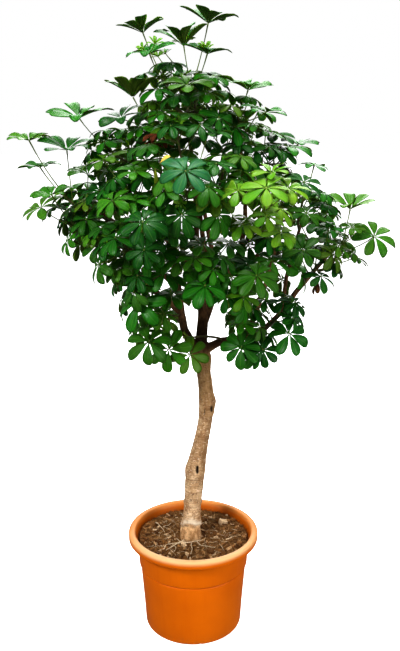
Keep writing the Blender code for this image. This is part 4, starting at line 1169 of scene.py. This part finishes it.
chip_names = sorted(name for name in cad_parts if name.startswith("bark_chip_"))
large_chips = []
for number, name in enumerate(chip_names):
    low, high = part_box(name)
    middle = (Vector(low) + Vector(high)) / 2
    size = Vector(high) - Vector(low)
    heading = math.atan2(size.y, size.x) * (1 if number % 2 else -1)
    middle.z = mix_height(middle.x, middle.y) + 0.003
    large_chips.append(lay_flake(rng, flakes[number % 2], middle, LARGE_CHIP_LENGTH, heading))
    set_tone(large_chips[-1].data, 0.0, rng.uniform(0.45, 0.85), 0.5)
large_chips = join_pieces(large_chips, "large_bark_chips", chip_names)
print("Mulch faces:", len(mulch.data.polygons) + len(large_chips.data.polygons))

# %% Lay straw, twig and roots
STRAW_COUNT = 200


def lay_strand(name, places, radius, lift, shade):
    """A thin round strand through places on the mix."""
    points = [Vector((x, y, mix_height(x, y) + lift)) for x, y in places]
    points = smooth_line(points, 3)
    radii = [radius * (1.25 - 0.75 * i / len(points)) for i in range(len(points))]
    strand = round_tube(name, points, radii, straw_finish)
    set_tone(strand.data, 0.0, shade, 0.5)
    return strand


def strand_places(start, heading, length, bend, steps=4):
    """Places along a strand that bends by the same angle at each step."""
    places = [start]
    for i in range(steps):
        heading += bend
        x, y = places[-1]
        places.append((x + length / steps * math.cos(heading), y + length / steps * math.sin(heading)))
    return places


straw = []
for number in range(STRAW_COUNT):
    reach = 0.128 * math.sqrt(rng.random())
    angle = rng.uniform(0, 2 * math.pi)
    start = (reach * math.cos(angle), reach * math.sin(angle))
    places = strand_places(start, rng.uniform(0, 6.28), rng.uniform(0.010, 0.030), rng.gauss(0, 0.35))
    far = max(math.hypot(x, y) for x, y in places)
    near = min(math.hypot(x + 0.007, y) for x, y in places)
    if far < 0.146 and near > 0.033:
        straw.append(lay_strand("straw", places, rng.uniform(0.0003, 0.0007), 0.003, rng.random() ** 1.5))
straw = join_pieces(straw, "straw_litter")

# the big pale roots that run forward from the trunk's foot, with their side roots
ROOTS = [
    ([(-0.026, -0.026), (-0.034, -0.040), (-0.044, -0.050), (-0.055, -0.066), (-0.072, -0.088)], 0.0019, 0.9),
    ([(-0.034, -0.040), (-0.016, -0.041), (0.008, -0.036), (0.028, -0.026)], 0.0015, 1.0),
    ([(-0.004, -0.040), (-0.005, -0.060), (-0.002, -0.082), (-0.006, -0.106)], 0.0014, 0.85),
    ([(-0.044, -0.050), (-0.058, -0.048), (-0.074, -0.054)], 0.0011, 0.8),
    ([(-0.050, -0.058), (-0.046, -0.074), (-0.050, -0.092)], 0.0010, 0.8),
    ([(0.010, -0.036), (0.022, -0.050), (0.040, -0.062), (0.060, -0.070)], 0.0011, 0.75),
    ([(-0.034, -0.040), (-0.040, -0.030), (-0.046, -0.018)], 0.0010, 0.8),
    ([(0.072, -0.050), (0.078, -0.066), (0.082, -0.088)], 0.0009, 0.7),
]
roots = [lay_strand("root", places, radius, 0.0045, shade) for places, radius, shade in ROOTS]
root_names = [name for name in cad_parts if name.startswith("surface_root_")]
roots = join_pieces(roots, "surface_roots", root_names)
twig_places = strand_places((-0.108, 0.066), -0.95, 0.060, -0.05, 5)
twigs = [
    lay_strand("twig", twig_places, 0.0013, 0.0065, 0.75),
    lay_strand("twig", strand_places((-0.085, 0.040), 0.3, 0.030, 0.2), 0.0010, 0.0060, 0.9),
]
join_pieces(twigs, "dry_twigs", ["dry_twig"])
print("Strands:", STRAW_COUNT, "straws,", len(ROOTS), "roots")

# %% [markdown]
# ## Camera, floor and light
# The tree stands on a plain pale floor in even, soft light, seen from a little above the middle of its crown.
# The floor glows, so that it stays white where the crown keeps the lamps from it, but it lights nothing.

# %% Camera
CAMERA_PLACE = (0.019, -2.0, 1.384)
CAMERA_PITCH = 14.6
CAMERA_LENS = 43.96
camera = bpy.data.cameras.new("camera")
camera.lens = CAMERA_LENS
camera_object = bpy.data.objects.new("camera", camera)
camera_object.location = CAMERA_PLACE
camera_object.rotation_euler = (math.radians(90 - CAMERA_PITCH), 0, 0)
bpy.context.collection.objects.link(camera_object)
bpy.context.scene.camera = camera_object

# %% Floor and lights
FLOOR_GLOW = 0.90
floor_finish = Finish("studio_floor", Base_Color=(0.93, 0.93, 0.93), Roughness=0.9)
floor_finish.feed(**{"Emission Color": (1.0, 1.0, 1.0), "Emission Strength": FLOOR_GLOW})
bpy.ops.object.select_all(action="DESELECT")
bpy.ops.mesh.primitive_plane_add(size=60, location=(0, 0, 0))
floor = settle(bpy.context.object, "studio_floor", floor_finish)
floor.visible_diffuse = False
floor.visible_glossy = False
floor.visible_shadow = False
floor_finish.material.cycles.emission_sampling = "NONE"


def soft_light(name, place, aim, size, power):
    lamp = bpy.data.lights.new(name, "AREA")
    lamp.shape = "DISK"
    lamp.size = size
    lamp.energy = power
    obj = bpy.data.objects.new(name, lamp)
    obj.location = place
    obj.rotation_euler = (Vector(aim) - Vector(place)).to_track_quat("-Z", "Y").to_euler()
    bpy.context.collection.objects.link(obj)
    obj.visible_camera = False
    return obj


crown_centre = Vector((0.02, 0.0, 1.1))
soft_light("key_light", (-1.8, -2.4, 3.0), (0, 0, 0.9), 1.0, 95)
soft_light("fill_light", (2.4, -2.0, 1.6), (0, 0, 0.7), 2.0, 26)
soft_light("top_light", (0.2, 0.3, 3.8), crown_centre, 1.4, 75)
soft_light("back_light", (0.3, 3.4, 2.6), (0, 0, 0.7), 3.0, 90)
# two narrow lamps near the floor light the pot's sides and the trunk's foot
LOW_LIGHT_SPREAD = math.radians(50)
for name, x, power in (("low_light_left", -2.2, 2.0), ("low_light_right", 2.4, 3.7)):
    low_light = soft_light(name, (x, -2.0, 0.40), (0, 0, 0.20), 1.0, power)
    low_light.data.spread = LOW_LIGHT_SPREAD

# %% A white backdrop all round
# The world is white to the eye. As a light it is dimmer, most of all from below, which gives the crown depth.
LIGHT_FROM_ABOVE = 0.50
LIGHT_FROM_BELOW = 0.17
world = bpy.data.worlds.new("white_studio")
world.use_nodes = True
tree = world.node_tree
direction = tree.nodes.new("ShaderNodeTexCoord")
upward = tree.nodes.new("ShaderNodeSeparateXYZ")
tree.links.new(direction.outputs["Generated"], upward.inputs[0])
light = tree.nodes.new("ShaderNodeMapRange")
span = {"From Min": -0.3, "From Max": 0.5, "To Min": LIGHT_FROM_BELOW, "To Max": LIGHT_FROM_ABOVE}
for socket, value in span.items():
    light.inputs[socket].default_value = value
tree.links.new(upward.outputs["Z"], light.inputs["Value"])
seen = tree.nodes.new("ShaderNodeLightPath")
brighter = tree.nodes.new("ShaderNodeMath")
brighter.operation = "MAXIMUM"
tree.links.new(seen.outputs["Is Camera Ray"], brighter.inputs[0])
tree.links.new(light.outputs[0], brighter.inputs[1])
tree.links.new(brighter.outputs[0], tree.nodes["Background"].inputs["Strength"])
tree.nodes["Background"].inputs["Color"].default_value = (1, 1, 1, 1)
bpy.context.scene.world = world
bpy.context.scene.view_settings.view_transform = "Standard"
bpy.context.scene.view_settings.gamma = 0.8
